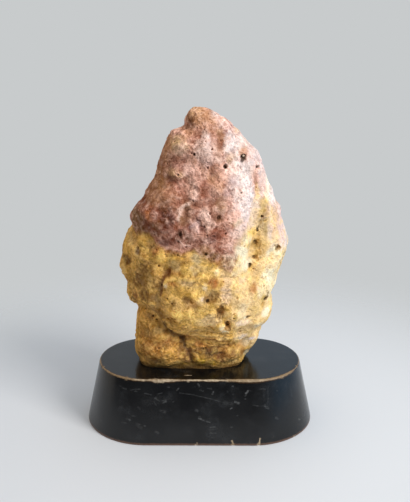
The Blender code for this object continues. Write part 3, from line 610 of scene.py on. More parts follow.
# Stains elsewhere: direction in degrees, z, half width, half height in mm, pigment, strength
roundStains = [
    (0, 200, 18, 20, "cream", 0.55), (0, 165, 14, 22, "palePink", 0.6), (10, 130, 16, 16, "cream", 0.7),
    (15, 100, 14, 14, "sand", 0.6), (20, 72, 16, 10, "clay", 0.5), (60, 222, 12, 12, "tan", 0.6),
    (75, 200, 16, 14, "mauve", 0.55), (100, 184, 16, 12, "palePink", 0.4), (55, 178, 12, 10, "rust", 0.5),
    (85, 172, 8, 8, "plum", 0.6), (120, 196, 12, 16, "rust", 0.35), (150, 205, 14, 12, "tan", 0.5),
    (170, 176, 12, 10, "mauve", 0.5), (70, 140, 16, 10, "gold", 0.4), (95, 126, 18, 12, "sand", 0.5),
    (120, 118, 14, 12, "umber", 0.5), (150, 138, 14, 12, "gold", 0.35), (170, 120, 12, 14, "umber", 0.45),
    (50, 112, 12, 10, "amber", 0.45), (90, 96, 16, 8, "clay", 0.6), (60, 80, 14, 9, "amber", 0.4),
    (110, 74, 14, 10, "gold", 0.45), (135, 90, 12, 8, "umber", 0.55), (165, 84, 12, 12, "amber", 0.4),
    (85, 58, 20, 5, "umber", 0.5), (175, 62, 12, 8, "gold", 0.4), (-175, 100, 10, 10, "clay", 0.5),
    (30, 190, 7, 12, "ivory", 0.6), (38, 150, 8, 7, "olive", 0.5), (44, 160, 6, 8, "rose", 0.5),
    (105, 212, 9, 7, "blush", 0.5), (128, 176, 8, 7, "orange", 0.5), (140, 188, 7, 9, "brick", 0.5),
    (88, 232, 7, 6, "sienna", 0.5), (112, 150, 9, 6, "peach", 0.5), (78, 118, 8, 6, "orange", 0.45),
    (142, 112, 7, 6, "orange", 0.4), (160, 150, 8, 6, "honey", 0.5), (118, 98, 8, 6, "honey", 0.5),
    (70, 96, 8, 6, "cream", 0.4), (100, 82, 8, 5, "dusk", 0.4), (150, 72, 9, 6, "orange", 0.4),
    (55, 62, 9, 5, "yellow", 0.5), (185, 138, 8, 10, "gold", 0.4), (182, 190, 7, 9, "brick", 0.5),
    (80, 132, 13, 7, "cream", 0.5), (130, 126, 9, 14, "tan", 0.55), (105, 108, 17, 6, "peach", 0.5),
    (58, 92, 11, 15, "sand", 0.5), (140, 78, 15, 9, "clay", 0.5), (92, 68, 12, 5, "sand", 0.45),
    (158, 100, 9, 16, "tan", 0.45), (72, 106, 8, 12, "sienna", 0.45), (122, 62, 14, 5, "amber", 0.5),
    (98, 142, 10, 6, "sienna", 0.5), (118, 136, 7, 5, "dusk", 0.35), (50, 128, 9, 13, "cream", 0.45),
    (90, 190, 15, 8, "palePink", 0.5), (112, 168, 11, 8, "mauve", 0.5), (66, 160, 10, 9, "lilac", 0.4),
    (135, 160, 9, 8, "plum", 0.45), (98, 208, 10, 9, "rose", 0.45), (160, 178, 10, 12, "blush", 0.4),
]

# Height in mm where rose gives way to ochre, by direction round the rock in degrees from +X
roseEdge = [
    (-180, 160), (-165, 158), (-155, 161), (-140, 163), (-133, 155), (-120, 150.5), (-108, 149.5),
    (-98, 152),
    (-90, 148.5), (-82, 145.5), (-75, 143), (-64, 136), (-60, 141), (-57, 150), (-52, 164), (-44, 172),
    (-36, 184), (-26, 190), (-12, 176), (6, 158), (24, 150), (44, 156), (62, 168), (80, 162), (96, 146),
    (114, 140), (132, 148), (150, 160), (165, 163), (180, 160),
]

# How far right, in mm, the pale side of the front starts, by height
paleEdge = [
    (40, 60), (62, 44), (70, 30), (80, 25), (95, 25), (110, 23), (125, 21), (133, 18), (140, 26), (152, 27),
    (165, 25), (180, 25), (195, 23), (205, 22), (216, 21), (226, 23), (234, 27), (242, 34), (250, 40),
]


def thickSkin():
    # The rock's own form with an even, fine skin
    rock = newPiece("weatheredRock", mergedCopy("rock"))
    remesh = rock.modifiers.new("even skin", "REMESH")
    remesh.mode = "VOXEL"
    remesh.voxel_size = rockForm["skin"]
    ease = rock.modifiers.new("ease facets", "SMOOTH")
    ease.factor = 0.5
    ease.iterations = rockForm["smoothing"]
    made = bpy.data.meshes.new_from_object(rock.evaluated_get(bpy.context.evaluated_depsgraph_get()))
    rock.modifiers.clear()
    rock.data = made
    return rock


def findPits(bm):
    # (place, inward, radius, depth) of every pit, in metres
    skin = BVHTree.FromBMesh(bm)
    pits = []
    far = rockForm["castFrom"]
    for x, z, radius, depth in frontPits:
        place, out, _, _ = skin.ray_cast(Vector((x * mm, -far, z * mm)), Vector((0, 1, 0)))
        pits.append((place, -out, radius * mm, depth * mm))
    draw = random.Random(scatteredPits["seed"])
    while len(pits) < len(frontPits) + scatteredPits["count"]:
        turn = draw.uniform(0, 2 * math.pi)
        height = draw.uniform(*scatteredPits["heights"])
        aside = draw.uniform(-scatteredPits["aside"], scatteredPits["aside"])
        radius = draw.uniform(*scatteredPits["radius"]) * mm
        if turn < math.pi and draw.random() < scatteredPits["wideShare"]:
            radius *= scatteredPits["wide"]
        start = Vector((far * math.cos(turn) + aside, far * math.sin(turn), height))
        place, out, _, _ = skin.ray_cast(start, Vector((-math.cos(turn), -math.sin(turn), 0)))
        if place:
            pits.append((place, -out, radius, scatteredPits["depth"] * radius))
    return pits


def refinePits(bm, pits):
    # Finer skin round each pit, and again at the rims of the wider ones
    for reach, smallest in rockForm["finer"]:
        spots = [(pit[0], reach * pit[2] + rockForm["margin"]) for pit in pits if pit[2] > smallest * mm]
        halveNear(bm, spots, rockForm["shortEdge"])


def lineShares(points):
    # How near each front line each point is, from 0 to 1
    front = soft(points[:, 1], 8, -6)
    wander = np.c_[grainOf(points, 5, 51.0), grainOf(points, 5, 57.0)]
    seen = points[:, [0, 2]] + 1.1 * wander
    uneven = np.clip(1 + 1.2 * grainOf(points, 4, 63.0), 0.35, 1.7)
    for lift, width, pigment, strength, line in frontLines:
        away = np.full(len(seen), 1e9)
        for start, end in zip(line, line[1:]):
            start, end = np.array(start), np.array(end)
            run = end - start
            share = np.clip((seen - start) @ run / (run @ run), 0, 1)
            away = np.minimum(away, np.linalg.norm(seen - start - share[:, None] * run, axis=1))
        yield lift, pigment, strength, front * np.exp(-(away / (width * uneven)) ** 2)


def roundAxis(points):
    # Direction round the rock in degrees from +X, and distance from its axis in mm
    beside = points[:, 0] - rockForm["axis"]
    return np.degrees(np.arctan2(points[:, 1], beside)), np.hypot(beside, points[:, 1])


def nearestHalf(size):
    return round(2 * size) / 2


def onFront(marks):
    # Marks as the camera sees them on the rock, as x, z, half width and half height to half a mm
    surface = surfaceOf("rock")
    placed = []
    for across, down, wide, tall, *rest in marks:
        toMiddle = [(middle - place) / 100 for middle, place in zip(rockForm["viewMiddle"], (across, down))]
        x, _, z = seenOn(surface, across, down, *toMiddle)
        sizes = x, z, rockForm["perPixel"] * wide, rockForm["perPixel"] * tall
        placed.append((*map(nearestHalf, sizes), *rest))
    return placed


def frontAway(points, x, z, width, height):
    # Distance from a mark on the front, in half widths and half heights of the mark
    return np.hypot((points[:, 0] - x) / width, (points[:, 2] - z) / height)


def roundAway(points, angles, girth, angle, z, width, height):
    # The same for a mark on the sides or back
    turn = np.radians((angles - angle + 180) % 360 - 180)
    return np.hypot(turn * girth / width, (points[:, 2] - z) / height)


def swellLift(points):
    # How far the swells and hollows move each point, in mm
    front = soft(points[:, 1], 12, 0)
    wander = 0.28 * grainOf(points, 4.0, 44.0) + 0.14 * grainOf(points, 1.9, 49.0)
    total = np.zeros(len(points))
    for x, z, width, height, lift in onFront(frontSwells):
        total += lift * soft(frontAway(points, x, z, width, height) + wander, 1.5, 0.25)
    total *= front
    draw = random.Random(roundSwells["seed"])
    angles, girth = roundAxis(points)
    for _ in range(roundSwells["count"]):
        angle = draw.uniform(*roundSwells["angles"])
        z = draw.uniform(*roundSwells["heights"])
        width, height = draw.uniform(*roundSwells["size"]), draw.uniform(*roundSwells["size"])
        lift = draw.uniform(-1, 1) * roundSwells["lift"]
        away = roundAway(points, angles, girth, angle, z, width, height) + wander
        total += (1 - front) * lift * soft(away, 1.5, 0.25)
    return total


def standing(mesh, places, outward, rounds):
    # How far each point stands out of the skin round it, in mm
    ends = np.zeros(len(mesh.edges) * 2, np.int32)
    mesh.edges.foreach_get("vertices", ends)
    first, second = ends.reshape(-1, 2).T
    count = len(places)
    joined = np.bincount(first, minlength=count) + np.bincount(second, minlength=count)
    eased = places.T.copy()
    for _ in range(rounds):
        beside = np.array([
            np.bincount(first, row[second], count) + np.bincount(second, row[first], count) for row in eased
        ])
        eased = 0.4 * eased + 0.6 * beside / joined
    return ((places - eased.T) * outward).sum(axis=1) / mm


def roseShare(points):
    # 1 where the stone is rose, 0 where it is ochre
    angles, heights = zip(*roseEdge)
    wander = 2.6 * grainOf(points, 13, 3.1) + 1.8 * grainOf(points, 5, 8.2) + 0.9 * grainOf(points, 2.2, 5.7)
    turn, _ = roundAxis(points)
    return soft(points[:, 2] + wander - np.interp(turn, angles, heights), -1.8, 2.4)


def paleShare(points):
    # 1 on the pale side of the front and round the right edge, fading out behind
    heights, starts = zip(*paleEdge)
    wander = 2.4 * grainOf(points, 9, 17.0) + 1.5 * grainOf(points, 3.5, 19.0)
    inside = soft(points[:, 0] + wander - np.interp(points[:, 2], heights, starts), -2.5, 3.0)
    return inside * soft(points[:, 1] + 2 * wander, 24, 6)


def stainShares(points):
    # How much of each stain lies on each point, with wandering edges
    wander = 0.30 * grainOf(points, 5.5, 41.0) + 0.24 * grainOf(points, 2.2, 47.0)
    front = soft(points[:, 1], 16, 2)
    for x, z, width, height, pigment, strength in onFront(frontStains):
        away = frontAway(points, x, z, width, height) + wander
        yield pigment, strength * front * soft(away, 1.3, 0.5)
    angles, girth = roundAxis(points)
    for angle, z, width, height, pigment, strength in roundStains:
        away = roundAway(points, angles, girth, angle, z, width, height) + wander
        yield pigment, strength * (1 - front) * soft(away, 1.3, 0.5)


def tintRock(points, rose, pale, lines, crest, swell):
    # The colour at each point: two grounds, then every pigment laid over the ones before
    def paint(name):
        return np.array(linear(pigments[name]))

    def lay(name, share):
        nonlocal tint
        share = np.clip(share, 0, 1)[:, None]
        tint = tint * (1 - share) + paint(name) * share

    tint = paint("ochre") * (1 - rose)[:, None] + paint("rose") * rose[:, None]
    ochre = 1 - rose
    calm = 1 - 0.75 * pale
    mottle = grainOf(points, 8, 21.0)
    fleck = grainOf(points, 3.6, 33.0)
    speck = grainOf(points, 1.9, 36.0)
    drift = grainOf(points, 5.6, 73.0)
    high = soft(points[:, 2], *rockForm["paleTurns"])
    low = soft(points[:, 2], *reversed(rockForm["paleTurns"]))
    lay("mauve", 0.45 * rose * soft(mottle, 0.05, 0.45))
    lay("palePink", 0.35 * rose * soft(-mottle, 0.05, 0.45))
    lay("gold", 0.5 * ochre * soft(mottle, 0.05, 0.45))
    lay("taupe", 0.35 * ochre * soft(-mottle, 0.1, 0.5))
    lay("ivory", 0.75 * pale * high)
    lay("lilac", 0.45 * pale * soft(mottle, 0.0, 0.4) * high)
    lay("peach", 0.80 * pale * low)
    for name, share in stainShares(points):
        lay(name, rockForm["stainStrength"] * share)
    lay("sienna", 0.55 * calm * soft(1 - np.abs(2 * rose - 0.8), 0.1, 0.8))
    lay("brick", 0.26 * calm * rose * soft(fleck, 0.10, 0.5))
    lay("amber", 0.32 * calm * ochre * soft(fleck, 0.10, 0.5))
    lay("clay", 0.30 * calm * ochre * soft(drift, 0.08, 0.45))
    lay("honey", 0.38 * ochre * soft(-drift, 0.10, 0.45))
    lay("sienna", 0.30 * calm * rose * soft(drift, 0.12, 0.5))
    lay("blush", 0.30 * rose * soft(-drift, 0.12, 0.5))
    lay("palePink", 0.20 * rose * soft(-fleck, 0.12, 0.5))
    lay("honey", 0.26 * ochre * soft(-fleck, 0.12, 0.5))
    lay("sienna", 0.20 * calm * soft(speck, 0.15, 0.55))
    # Raised skin is made lighter: partly the pale wear of ridges, partly painted highlight
    ridgeWearAndHighlight = np.maximum(soft(crest, 0.08, 0.40), 0.9 * soft(swell, 0.25, 1.1))
    tint *= 1 + 0.42 * ridgeWearAndHighlight[:, None]
    lay("palePink", 0.22 * rose * ridgeWearAndHighlight)
    lay("honey", 0.24 * ochre * ridgeWearAndHighlight)
    # Recesses in the skin and the low swells are made darker: painted shade over the brown of the hollows
    lay("brick", 0.43 * calm * rose * soft(-crest, 0.05, 0.34))
    lay("umber", 0.43 * calm * ochre * soft(-crest, 0.05, 0.34))
    lay("brick", 0.40 * rose * soft(-swell, 0.2, 1.0))
    lay("umber", 0.45 * ochre * soft(-swell, 0.2, 1.0))
    # Painted shade: the rock darkened in its last few mm above the stand, where the two meet
    lay("dusk", 0.65 * soft(points[:, 2], *rockForm["footShade"]))
    for _, name, strength, share in lines:
        lay(name, strength * share)
    return tint


def raiseSkin(points, rose, pale, lines, swell):
    # How far each point moves out, in mm, and how much painted shade it gets in the cracks, ledges and gaps
    # between knobs round it, from 0
    warp = np.c_[grainOf(points, 4, 11.3), grainOf(points, 4, 37.9), grainOf(points, 4, 71.1)]
    strands = 1 - 3.2 * np.abs(grainOf(points + 1.9 * warp, 3.6, 5.5))
    knobs = soft(cellsOf(points + 1.2 * warp, 4.4, 2.0), 0.0, 0.4)
    thread = np.exp(-(grainOf(points + 2.5 * warp, 15, 60.0) / 0.035) ** 2)
    cracks = thread * soft(grainOf(points, 24, 80.0), -0.1, 0.3)
    rows = points[:, 2] + 0.25 * points[:, 0] + 2.2 * grainOf(points, 9, 15.0)
    folds = np.sin(2 * math.pi * rows / folded["spacing"])
    tucked = soft(frontAway(points, *folded["middle"], *folded["reach"]), 1.1, 0.5)
    tucked = tucked * soft(points[:, 1], 0, -14)
    steps = 4.5 * grainOf(points + 2.0 * warp, 11, 27.0)
    flakes = np.floor(steps) + soft(steps % 1, 0.35, 0.62)
    rough = soft(grainOf(points, 15, 70.0), -0.3, 0.35) * (1 - 0.6 * pale)

    lift = relief["lumps"] * grainOf(points, 8.5, 1.0) + relief["dimples"] * grainOf(points, 4.2, 9.0)
    lift += (relief["flakes"] - relief["smootherRose"] * rose) * flakes
    lift += (relief["knobs"] + relief["roughKnobs"] * rough) * (knobs - 0.6)
    lift += (relief["strands"] + relief["roughStrands"] * rough) * np.clip(strands, -0.3, 1)
    lift += swell
    lift += relief["folds"] * tucked * folds
    lift -= relief["cracks"] * cracks
    for rise, _, _, share in lines:
        lift += rise * share
    lift *= soft(points[:, 2], rockForm["bareBelow"], rockForm["fullAbove"])

    ledges = np.exp(-((steps % 1 - 0.38) / 0.12) ** 2)
    # Painted shade: darker in cracks, below ledges and between knobs
    hollow = 0.35 * cracks + 0.20 * (1 - knobs) + (0.30 - 0.18 * rose) * ledges
    return lift, hollow


def digPits(places, pits, hollow):
    # How the pits move each point, in metres; painted shade is deepened inside them and cleared on bosses
    dig = np.zeros((len(places), 3))
    for place, inward, radius, depth in pits:
        place, inward = np.array(place), np.array(inward)
        close = np.flatnonzero(np.abs(places - place).max(axis=1) < 2.2 * radius)
        away = places[close] - place
        across = np.linalg.norm(away - np.outer(away @ inward, inward), axis=1)
        ragged = 1 + 0.22 * grainOf(places[close] / mm, max(radius / mm, 0.8), 90.0)
        share = soft(across / (radius * ragged), 1.12, 0.55)
        dig[close] += np.outer(share * depth, inward)
        # Painted shade inside the pit, lighter in the wide open ones
        dark = 1.5 * share * np.clip(abs(depth) / mm / 1.6, 0.3, 1)
        if radius > rockForm["openPit"]:
            dark = dark * 0.45
        hollow[close] = np.maximum(hollow[close], dark) if depth > 0 else hollow[close] * (1 - share)
    return dig


def buildRock():
    rock = thickSkin()
    mesh = rock.data
    bm = bmesh.new()
    bm.from_mesh(mesh)
    pits = findPits(bm)
    refinePits(bm, pits)
    bm.to_mesh(mesh)
    bm.free()
    places = readVectors(mesh, "place")
    outward = readVectors(mesh, "facing")
    points = places / mm
    print("rock skin:", len(points), "points,", len(mesh.polygons), "faces")

    rose = roseShare(points)
    pale = paleShare(points)
    lines = list(lineShares(points))
    swell = relief["swells"] * swellLift(points)
    lift, hollow = raiseSkin(points, rose, pale, lines, swell)
    dig = digPits(places, pits, hollow)
    moved = places + outward * (lift * mm)[:, None] + dig
    mesh.vertices.foreach_set("co", moved.ravel())
    mesh.update()

    crest = standing(mesh, moved, readVectors(mesh, "facing"), 4)
    addValues(mesh, "tint", tintRock(points, rose, pale, lines, crest, swell))
    addValues(mesh, "rose", rose)
    addValues(mesh, "pale", pale)
    # The painted shade of hollows, pits and cracks, for the stone's colour
    addValues(mesh, "hollow", hollow)
    mesh.shade_smooth()
    dress(rock, "rock", stoneFinish())


# Colours of light from 0 to 1; where there are two, the first is on ochre stone, the second on rose
stonePaint = {
    # Painted shade between the grains
    "shadow": ((0.48, 0.35, 0.21), (0.46, 0.29, 0.23)),
    # Pale grain colour with painted highlight on it
    "paleGrainAndHighlight": ((0.94, 0.76, 0.46), (0.95, 0.72, 0.57)),
    # Painted shade in pits, cracks and hollows
    "hollow": (0.050, 0.026, 0.012),
}


def stoneFinish():
    finish, n, where = newFinish("weathered stone")
    tint, rose, pale, hollow = n.own("tint", "Color"), n.own("rose"), n.own("pale"), n.own("hollow")

    # Grains and worm-like threads a millimetre or two across, in rougher and smoother patches
    bend = n.add("TexNoise", {"Vector": where, "Scale": 230.0, "Detail": 1.0}).outputs["Color"]
    bent = n.add("VectorMath", {0: bend, 1: (0.0045, 0.0045, 0.0045), 2: where}, operation="MULTIPLY_ADD")
    threads = n.ramp(n.size(n.minus(n.noise(bent.outputs[0], 225), 0.5)), 0.13, 0.0)
    grains = n.noise(where, 400)
    crumbs = n.noise(where, 1100, detail=2, rough=0.6)
    coarse = n.ramp(n.noise(where, 75, detail=2), 0.36, 0.62, 0.30, 1.0)
    ripples = n.noise(n.flattened(where, 1.7), 150, 2.5, 0.5, 0.8)
    ripples = n.ramp(n.size(n.minus(ripples, 0.5)), 0.11, 0.0)

    # What is lighter: grains, threads and ripples, partly the stone's own pale grain and partly painted
    # highlight, less so where the stone is dark
    light = n.times(n.ramp(grains, 0.48, 0.66, 0.0, 0.26), coarse)
    light = n.plus(light, n.times(n.times(threads, coarse), n.level(rose, 0.38, 0.66)))
    light = n.plus(light, n.times(ripples, n.level(rose, 0.24, 0.05)))
    green = n.add("SeparateColor", {0: tint}).outputs[1]
    light = n.times(light, n.ramp(green, 0.05, 0.34, 0.40, 1.0))

    # What is darker: painted shade between the grains, away from the threads
    dark = n.ramp(grains, 0.49, 0.33, 0.0, n.level(rose, 0.38, 0.54))
    dark = n.times(dark, n.level(pale, 1.0, 0.45))
    dark = n.times(dark, n.minus(1.0, n.times(threads, 0.6)))
    shadow = n.blend(dark, (1.0, 1.0, 1.0), n.blend(rose, *stonePaint["shadow"]))
    color = n.add("VectorMath", {0: tint, 1: shadow}, operation="MULTIPLY").outputs[0]
    color = n.add("VectorMath", {0: color, "Scale": n.plus(light, 1.0)}, operation="SCALE").outputs[0]
    # Pale grain colour and painted highlight laid over the lighter places
    color = n.blend(n.times(light, 0.34), color, n.blend(rose, *stonePaint["paleGrainAndHighlight"]))
    # Painted shade: the colour is taken towards near black in pits, cracks and hollows
    color = n.blend(n.ramp(hollow, 0.50, 1.4, 0.0, 0.90), color, stonePaint["hollow"])

    height = n.plus(n.times(threads, n.level(rose, 0.28, 0.38)), n.times(grains, 1.2))
    height = n.plus(height, n.times(ripples, n.level(rose, 0.2, 0.05)))
    height = n.plus(height, n.times(crumbs, 0.45))
    bumps = n.add("Bump", {"Height": height, "Strength": 1.0, "Distance": 0.0008})
    shader = n.add("BsdfPrincipled", {
        "Base Color": color, "Roughness": n.ramp(grains, 0.3, 0.7, 0.92, 0.70), "Normal": bumps.outputs[0],
        "Specular IOR Level": 0.15,
    })
    n.finish(shader)
    return finish


buildRock()
print("rock built")


# Sizes in mm, except where mm is written out; the plan is two half rounds joined by straight sides
standForm = {
    "topLength": 160.0,
    "topDepth": 80.0,
    "height": 50.0,
    "splay": 11.0,
    "facets": 64,
    "cuts": 2.5,
    "beyondTop": 9.0,
    "rimRows": (0.5, 1.1, 1.8, 2.7),
    "footRows": (0.6, 1.4),
    "chipHeight": 0.5,
    "rimWobble": 0.10,
    "creaseAngle": 0.75,
    "stride": 1.5 * mm,
    "shortEdge": 0.4 * mm,
    "sliver": 0.02 * mm,
    "seed": 7,
}
topHalf = standForm["topLength"] / 2
topGirth = standForm["topDepth"] / 2
straight = topHalf - topGirth
standHeight = standForm["height"]

# Seeded marks of handling, in mm; atEnds is the share of them on the round ends
handling = {
    "count": 90, "heights": (4, 46), "along": (-42, 42), "atEnds": 0.35,
    "length": (0.3, 4.0), "rise": (-0.5, 0.5), "width": (0.15, 0.45), "strength": (0.15, 0.55),
}

# Dents in the rim: x, y, reach, depth, all in mm
rimDents = [
    (-33.0, -40.0, 2.4, 0.42), (-29.5, -40.0, 1.8, 0.30), (-55.5, -36.8, 2.2, 0.26),
    (-8.0, -40.0, 1.6, 0.24),
    (21.5, -40.0, 1.8, 0.26), (38.0, -40.0, 1.5, 0.22), (63.5, -32.4, 2.0, 0.30), (77.0, -15.2, 1.6, 0.24),
    (-76.0, -17.4, 1.7, 0.26),
]

# Chips along the bottom edge, in the same way
baseChips = [
    (25.8, -51.0, 1.6, 0.45), (45.6, -50.7, 1.6, 0.45), (-2.5, -51.0, 1.2, 0.25), (74.0, -38.0, 1.4, 0.3),
]

# Grey scuffs and scratches in the lacquer, as the camera sees them: across and down to one end, then
# to the other, in pixels of its view, half width in mm and strength
scuffs = [
    (180, 393, 192, 394.5, 0.35, 0.4), (192, 394.5, 205, 397.5, 0.35, 0.35),
    (205, 397.5, 213, 399.5, 0.4, 0.45), (213, 399.5, 223, 402.5, 0.35, 0.3),
    (145, 393.5, 152, 395, 0.4, 0.4), (155, 398, 160, 401, 0.55, 0.55), (160, 401, 166, 400, 0.45, 0.45),
    (163, 403, 166, 402, 0.6, 0.7), (154, 402, 156, 405, 0.5, 0.4), (158, 394, 162, 393, 0.4, 0.35),
    (161, 411, 165, 412, 1.2, 0.22), (146, 402, 170, 398, 3, 0.1), (123, 388, 126, 389, 0.6, 0.35),
    (131, 390, 140, 389, 0.6, 0.28), (177, 390, 178.5, 388.5, 0.6, 0.55), (198, 384, 199, 385, 0.7, 0.6),
    (200, 390, 203, 391, 0.6, 0.35), (212.5, 394, 213.5, 391.5, 0.6, 0.55),
    (232, 386.5, 233, 386, 0.6, 0.45), (246, 393.5, 247.8, 391.5, 0.7, 0.95), (245, 396, 246, 395, 0.5, 0.5),
    (235, 402, 239, 403.5, 0.7, 0.9), (230.5, 409, 232, 408, 0.45, 0.8), (225, 403, 232, 404, 1.4, 0.2),
    (265, 406, 268, 408, 0.9, 0.5), (256, 406, 264, 406, 0.35, 0.22), (268, 388, 268, 402, 0.35, 0.22),
    (264, 388, 264, 400, 0.3, 0.16), (260, 389, 265, 389, 0.7, 0.25), (199, 418.5, 201, 419, 0.7, 0.9),
    (202, 420, 210, 422.5, 0.5, 0.45), (196, 410, 197.5, 411, 0.9, 0.35), (210, 427.5, 215, 427, 0.5, 0.4),
    (210, 433, 216, 433, 0.5, 0.45), (210, 437.5, 214, 437.5, 0.4, 0.25),
    (209, 429.5, 214, 429.5, 0.4, 0.22), (231, 427, 232, 427.5, 0.7, 0.35), (276, 418, 278, 419, 0.8, 0.35),
    (298.5, 419, 300, 419.5, 0.7, 0.5), (294, 436, 295.5, 435.5, 0.7, 0.5), (127, 419, 129.5, 420, 0.9, 0.4),
    (122, 422.5, 126, 423, 0.5, 0.3), (132, 416, 135, 416, 0.5, 0.3), (156, 432, 158, 433, 0.9, 0.3),
    (122, 385, 122, 387, 0.4, 0.3), (120, 407, 122, 408, 0.5, 0.22), (138, 407, 140, 409, 0.6, 0.22),
    (137, 424, 141, 428, 1.4, 0.18), (100, 418, 103, 423, 1.6, 0.12), (290, 385, 292, 396, 0.8, 0.14),
    (176, 369, 188, 372, 2.2, 0.16),
]

# Places where the lacquer is rubbed through to the pale ground, in the same way
bareSpots = [
    (232, 441, 233.5, 445, 0.6, 0.9), (260, 439, 259, 445, 0.6, 0.9), (197, 443, 197.5, 446, 0.5, 0.4),
    (185, 375.3, 191.3, 375.3, 0.45, 1), (150, 379.5, 157, 380.5, 1, 0.8),
    (157, 380.5, 163, 380.5, 1.5, 0.9), (163, 380, 168, 379.8, 1, 0.7), (118, 376.3, 124, 377.6, 0.9, 0.8),
    (231, 380, 236, 380.3, 1, 0.7),
]


def cutAcross(bm, axis, places):
    facing = Vector([float(i == axis) for i in range(3)])
    for place in places:
        everything = bm.verts[:] + bm.edges[:] + bm.faces[:]
        bmesh.ops.bisect_plane(
            bm, geom=everything, dist=standForm["sliver"], plane_co=facing * place * mm, plane_no=facing,
        )


def spread(low, top):
    # Middles of equal steps from low to top, each near the stand's spacing of cuts
    count = max(1, round((top - low) / standForm["cuts"]))
    return [low + (top - low) * (i + 0.5) / count for i in range(count)]


def refineAlong(bm, marks, reaches):
    # Halves the longer edges near each mark, once for each reach in mm
    for reach in reaches:
        spots = []
        for mark in marks:
            start, end = Vector(mark[:3]) * mm, Vector(mark[3:6]) * mm
            steps = max(1, round((end - start).length / standForm["stride"]))
            spots += [(start.lerp(end, step / steps), (reach + mark[6]) * mm) for step in range(steps + 1)]
        halveNear(bm, spots, standForm["shortEdge"])


def onStand(marks):
    # Marks as the camera sees them on the stand, as x, y, z of both ends in tenths of a mm and the rest
    surface = surfaceOf("stand")
    placed = []
    for *ends, width, strength in marks:
        start = seenOn(surface, ends[0], ends[1], 0, -0.5)
        end = seenOn(surface, ends[2], ends[3], 0, -0.5)
        placed.append((*(round(place, 1) for place in (*start, *end)), width, strength))
    return placed


def strokeShares(points, marks):
    # How much of the marks lies on each point, from 0 to 1, with ragged edges
    total = np.zeros(len(points))
    ragged = 1 + 0.55 * grainOf(points, 0.9, 14.0) + 0.35 * grainOf(points, 2.6, 18.0)
    for mark in marks:
        start, end = np.array(mark[:3]), np.array(mark[3:6])
        run = end - start
        share = np.clip((points - start) @ run / max(run @ run, 1e-6), 0, 1)
        away = np.linalg.norm(points - start - share[:, None] * run, axis=1)
        total = np.maximum(total, mark[7] * soft(away / (mark[6] * np.maximum(ragged, 0.3)), 1.5, 0.5))
    return total


def randomScuffs():
    # Fine marks of handling on the sides, all round
    draw = random.Random(standForm["seed"])
    found = []
    while len(found) < handling["count"]:
        turn = draw.uniform(0, 2 * math.pi)
        height = draw.uniform(*handling["heights"])
        girth = topGirth + standForm["splay"] * (standHeight - height) / standHeight
        x = draw.uniform(*handling["along"])
        across = math.copysign(girth, math.sin(turn))
        if draw.random() < handling["atEnds"]:
            x = math.copysign(straight, math.cos(turn)) + girth * math.cos(turn)
            across = girth * math.sin(turn)
        long = draw.uniform(*handling["length"])
        rise = draw.uniform(*handling["rise"])
        width, strength = draw.uniform(*handling["width"]), draw.uniform(*handling["strength"])
        end = x + long * abs(math.sin(turn))
        found.append((x, across, height, end, across, height + rise, width, strength))
    return found


def cutStand(bm):
    # Even rows of points over the whole stand, closer at the rim and the foot
    rows = standForm["rimRows"]
    nearRim = [standHeight - row for row in rows]
    cutAcross(bm, 2, spread(0, standHeight) + nearRim + list(standForm["footRows"]))
    for axis, half in ((0, topHalf), (1, topGirth)):
        wide = half + standForm["beyondTop"]
        cutAcross(bm, axis, spread(-wide, wide) + [side * (half - row) for row in rows for side in (-1, 1)])


def shapeStand(points, dents):
    # The ends' flat facets are rounded out, the rim wanders a little,
    # and the dents press their edges in
    beyond = np.abs(points[:, 0]) - straight
    girth = np.hypot(np.maximum(beyond, 0), points[:, 1])
    middle = np.clip(points[:, 0], -straight, straight)
    outward = np.c_[points[:, 0] - middle, points[:, 1], np.zeros(len(points))]
    outward = outward / np.maximum(girth, 1e-6)[:, None]
    facet = 2 * np.pi / standForm["facets"]
    turn = np.arctan2(points[:, 1], beyond)
    onEnd = np.abs(turn) < (np.pi - facet) / 2
    rounding = np.cos(turn - np.round(turn / facet) * facet) / np.cos(facet / 2) - 1
    moved = points + outward * (girth * rounding * onEnd)[:, None]
    rim = np.maximum(standHeight - points[:, 2], topGirth - girth)
    wobble = standForm["rimWobble"] * (0.4 + 0.6 * grainOf(points, 7, 6.0)) * soft(rim, 2.2, 0.2)
    moved -= outward * wobble[:, None]
    moved[:, 2] -= wobble
    for mark in dents:
        away = np.linalg.norm(points - np.array(mark[:3]), axis=1)
        press = mark[7] * soft(away / mark[6] * (1 + 0.3 * grainOf(points, 1.2, 31.0)), 1.1, 0.2)
        moved -= outward * press[:, None]
        moved[:, 2] -= press * (1 if mark[2] > standHeight / 2 else -0.3)
    return moved


def markCreases(mesh):
    bm = bmesh.new()
    bm.from_mesh(mesh)
    for edge in bm.edges:
        edge.smooth = edge.calc_face_angle(0.0) < standForm["creaseAngle"]
    bm.to_mesh(mesh)
    bm.free()


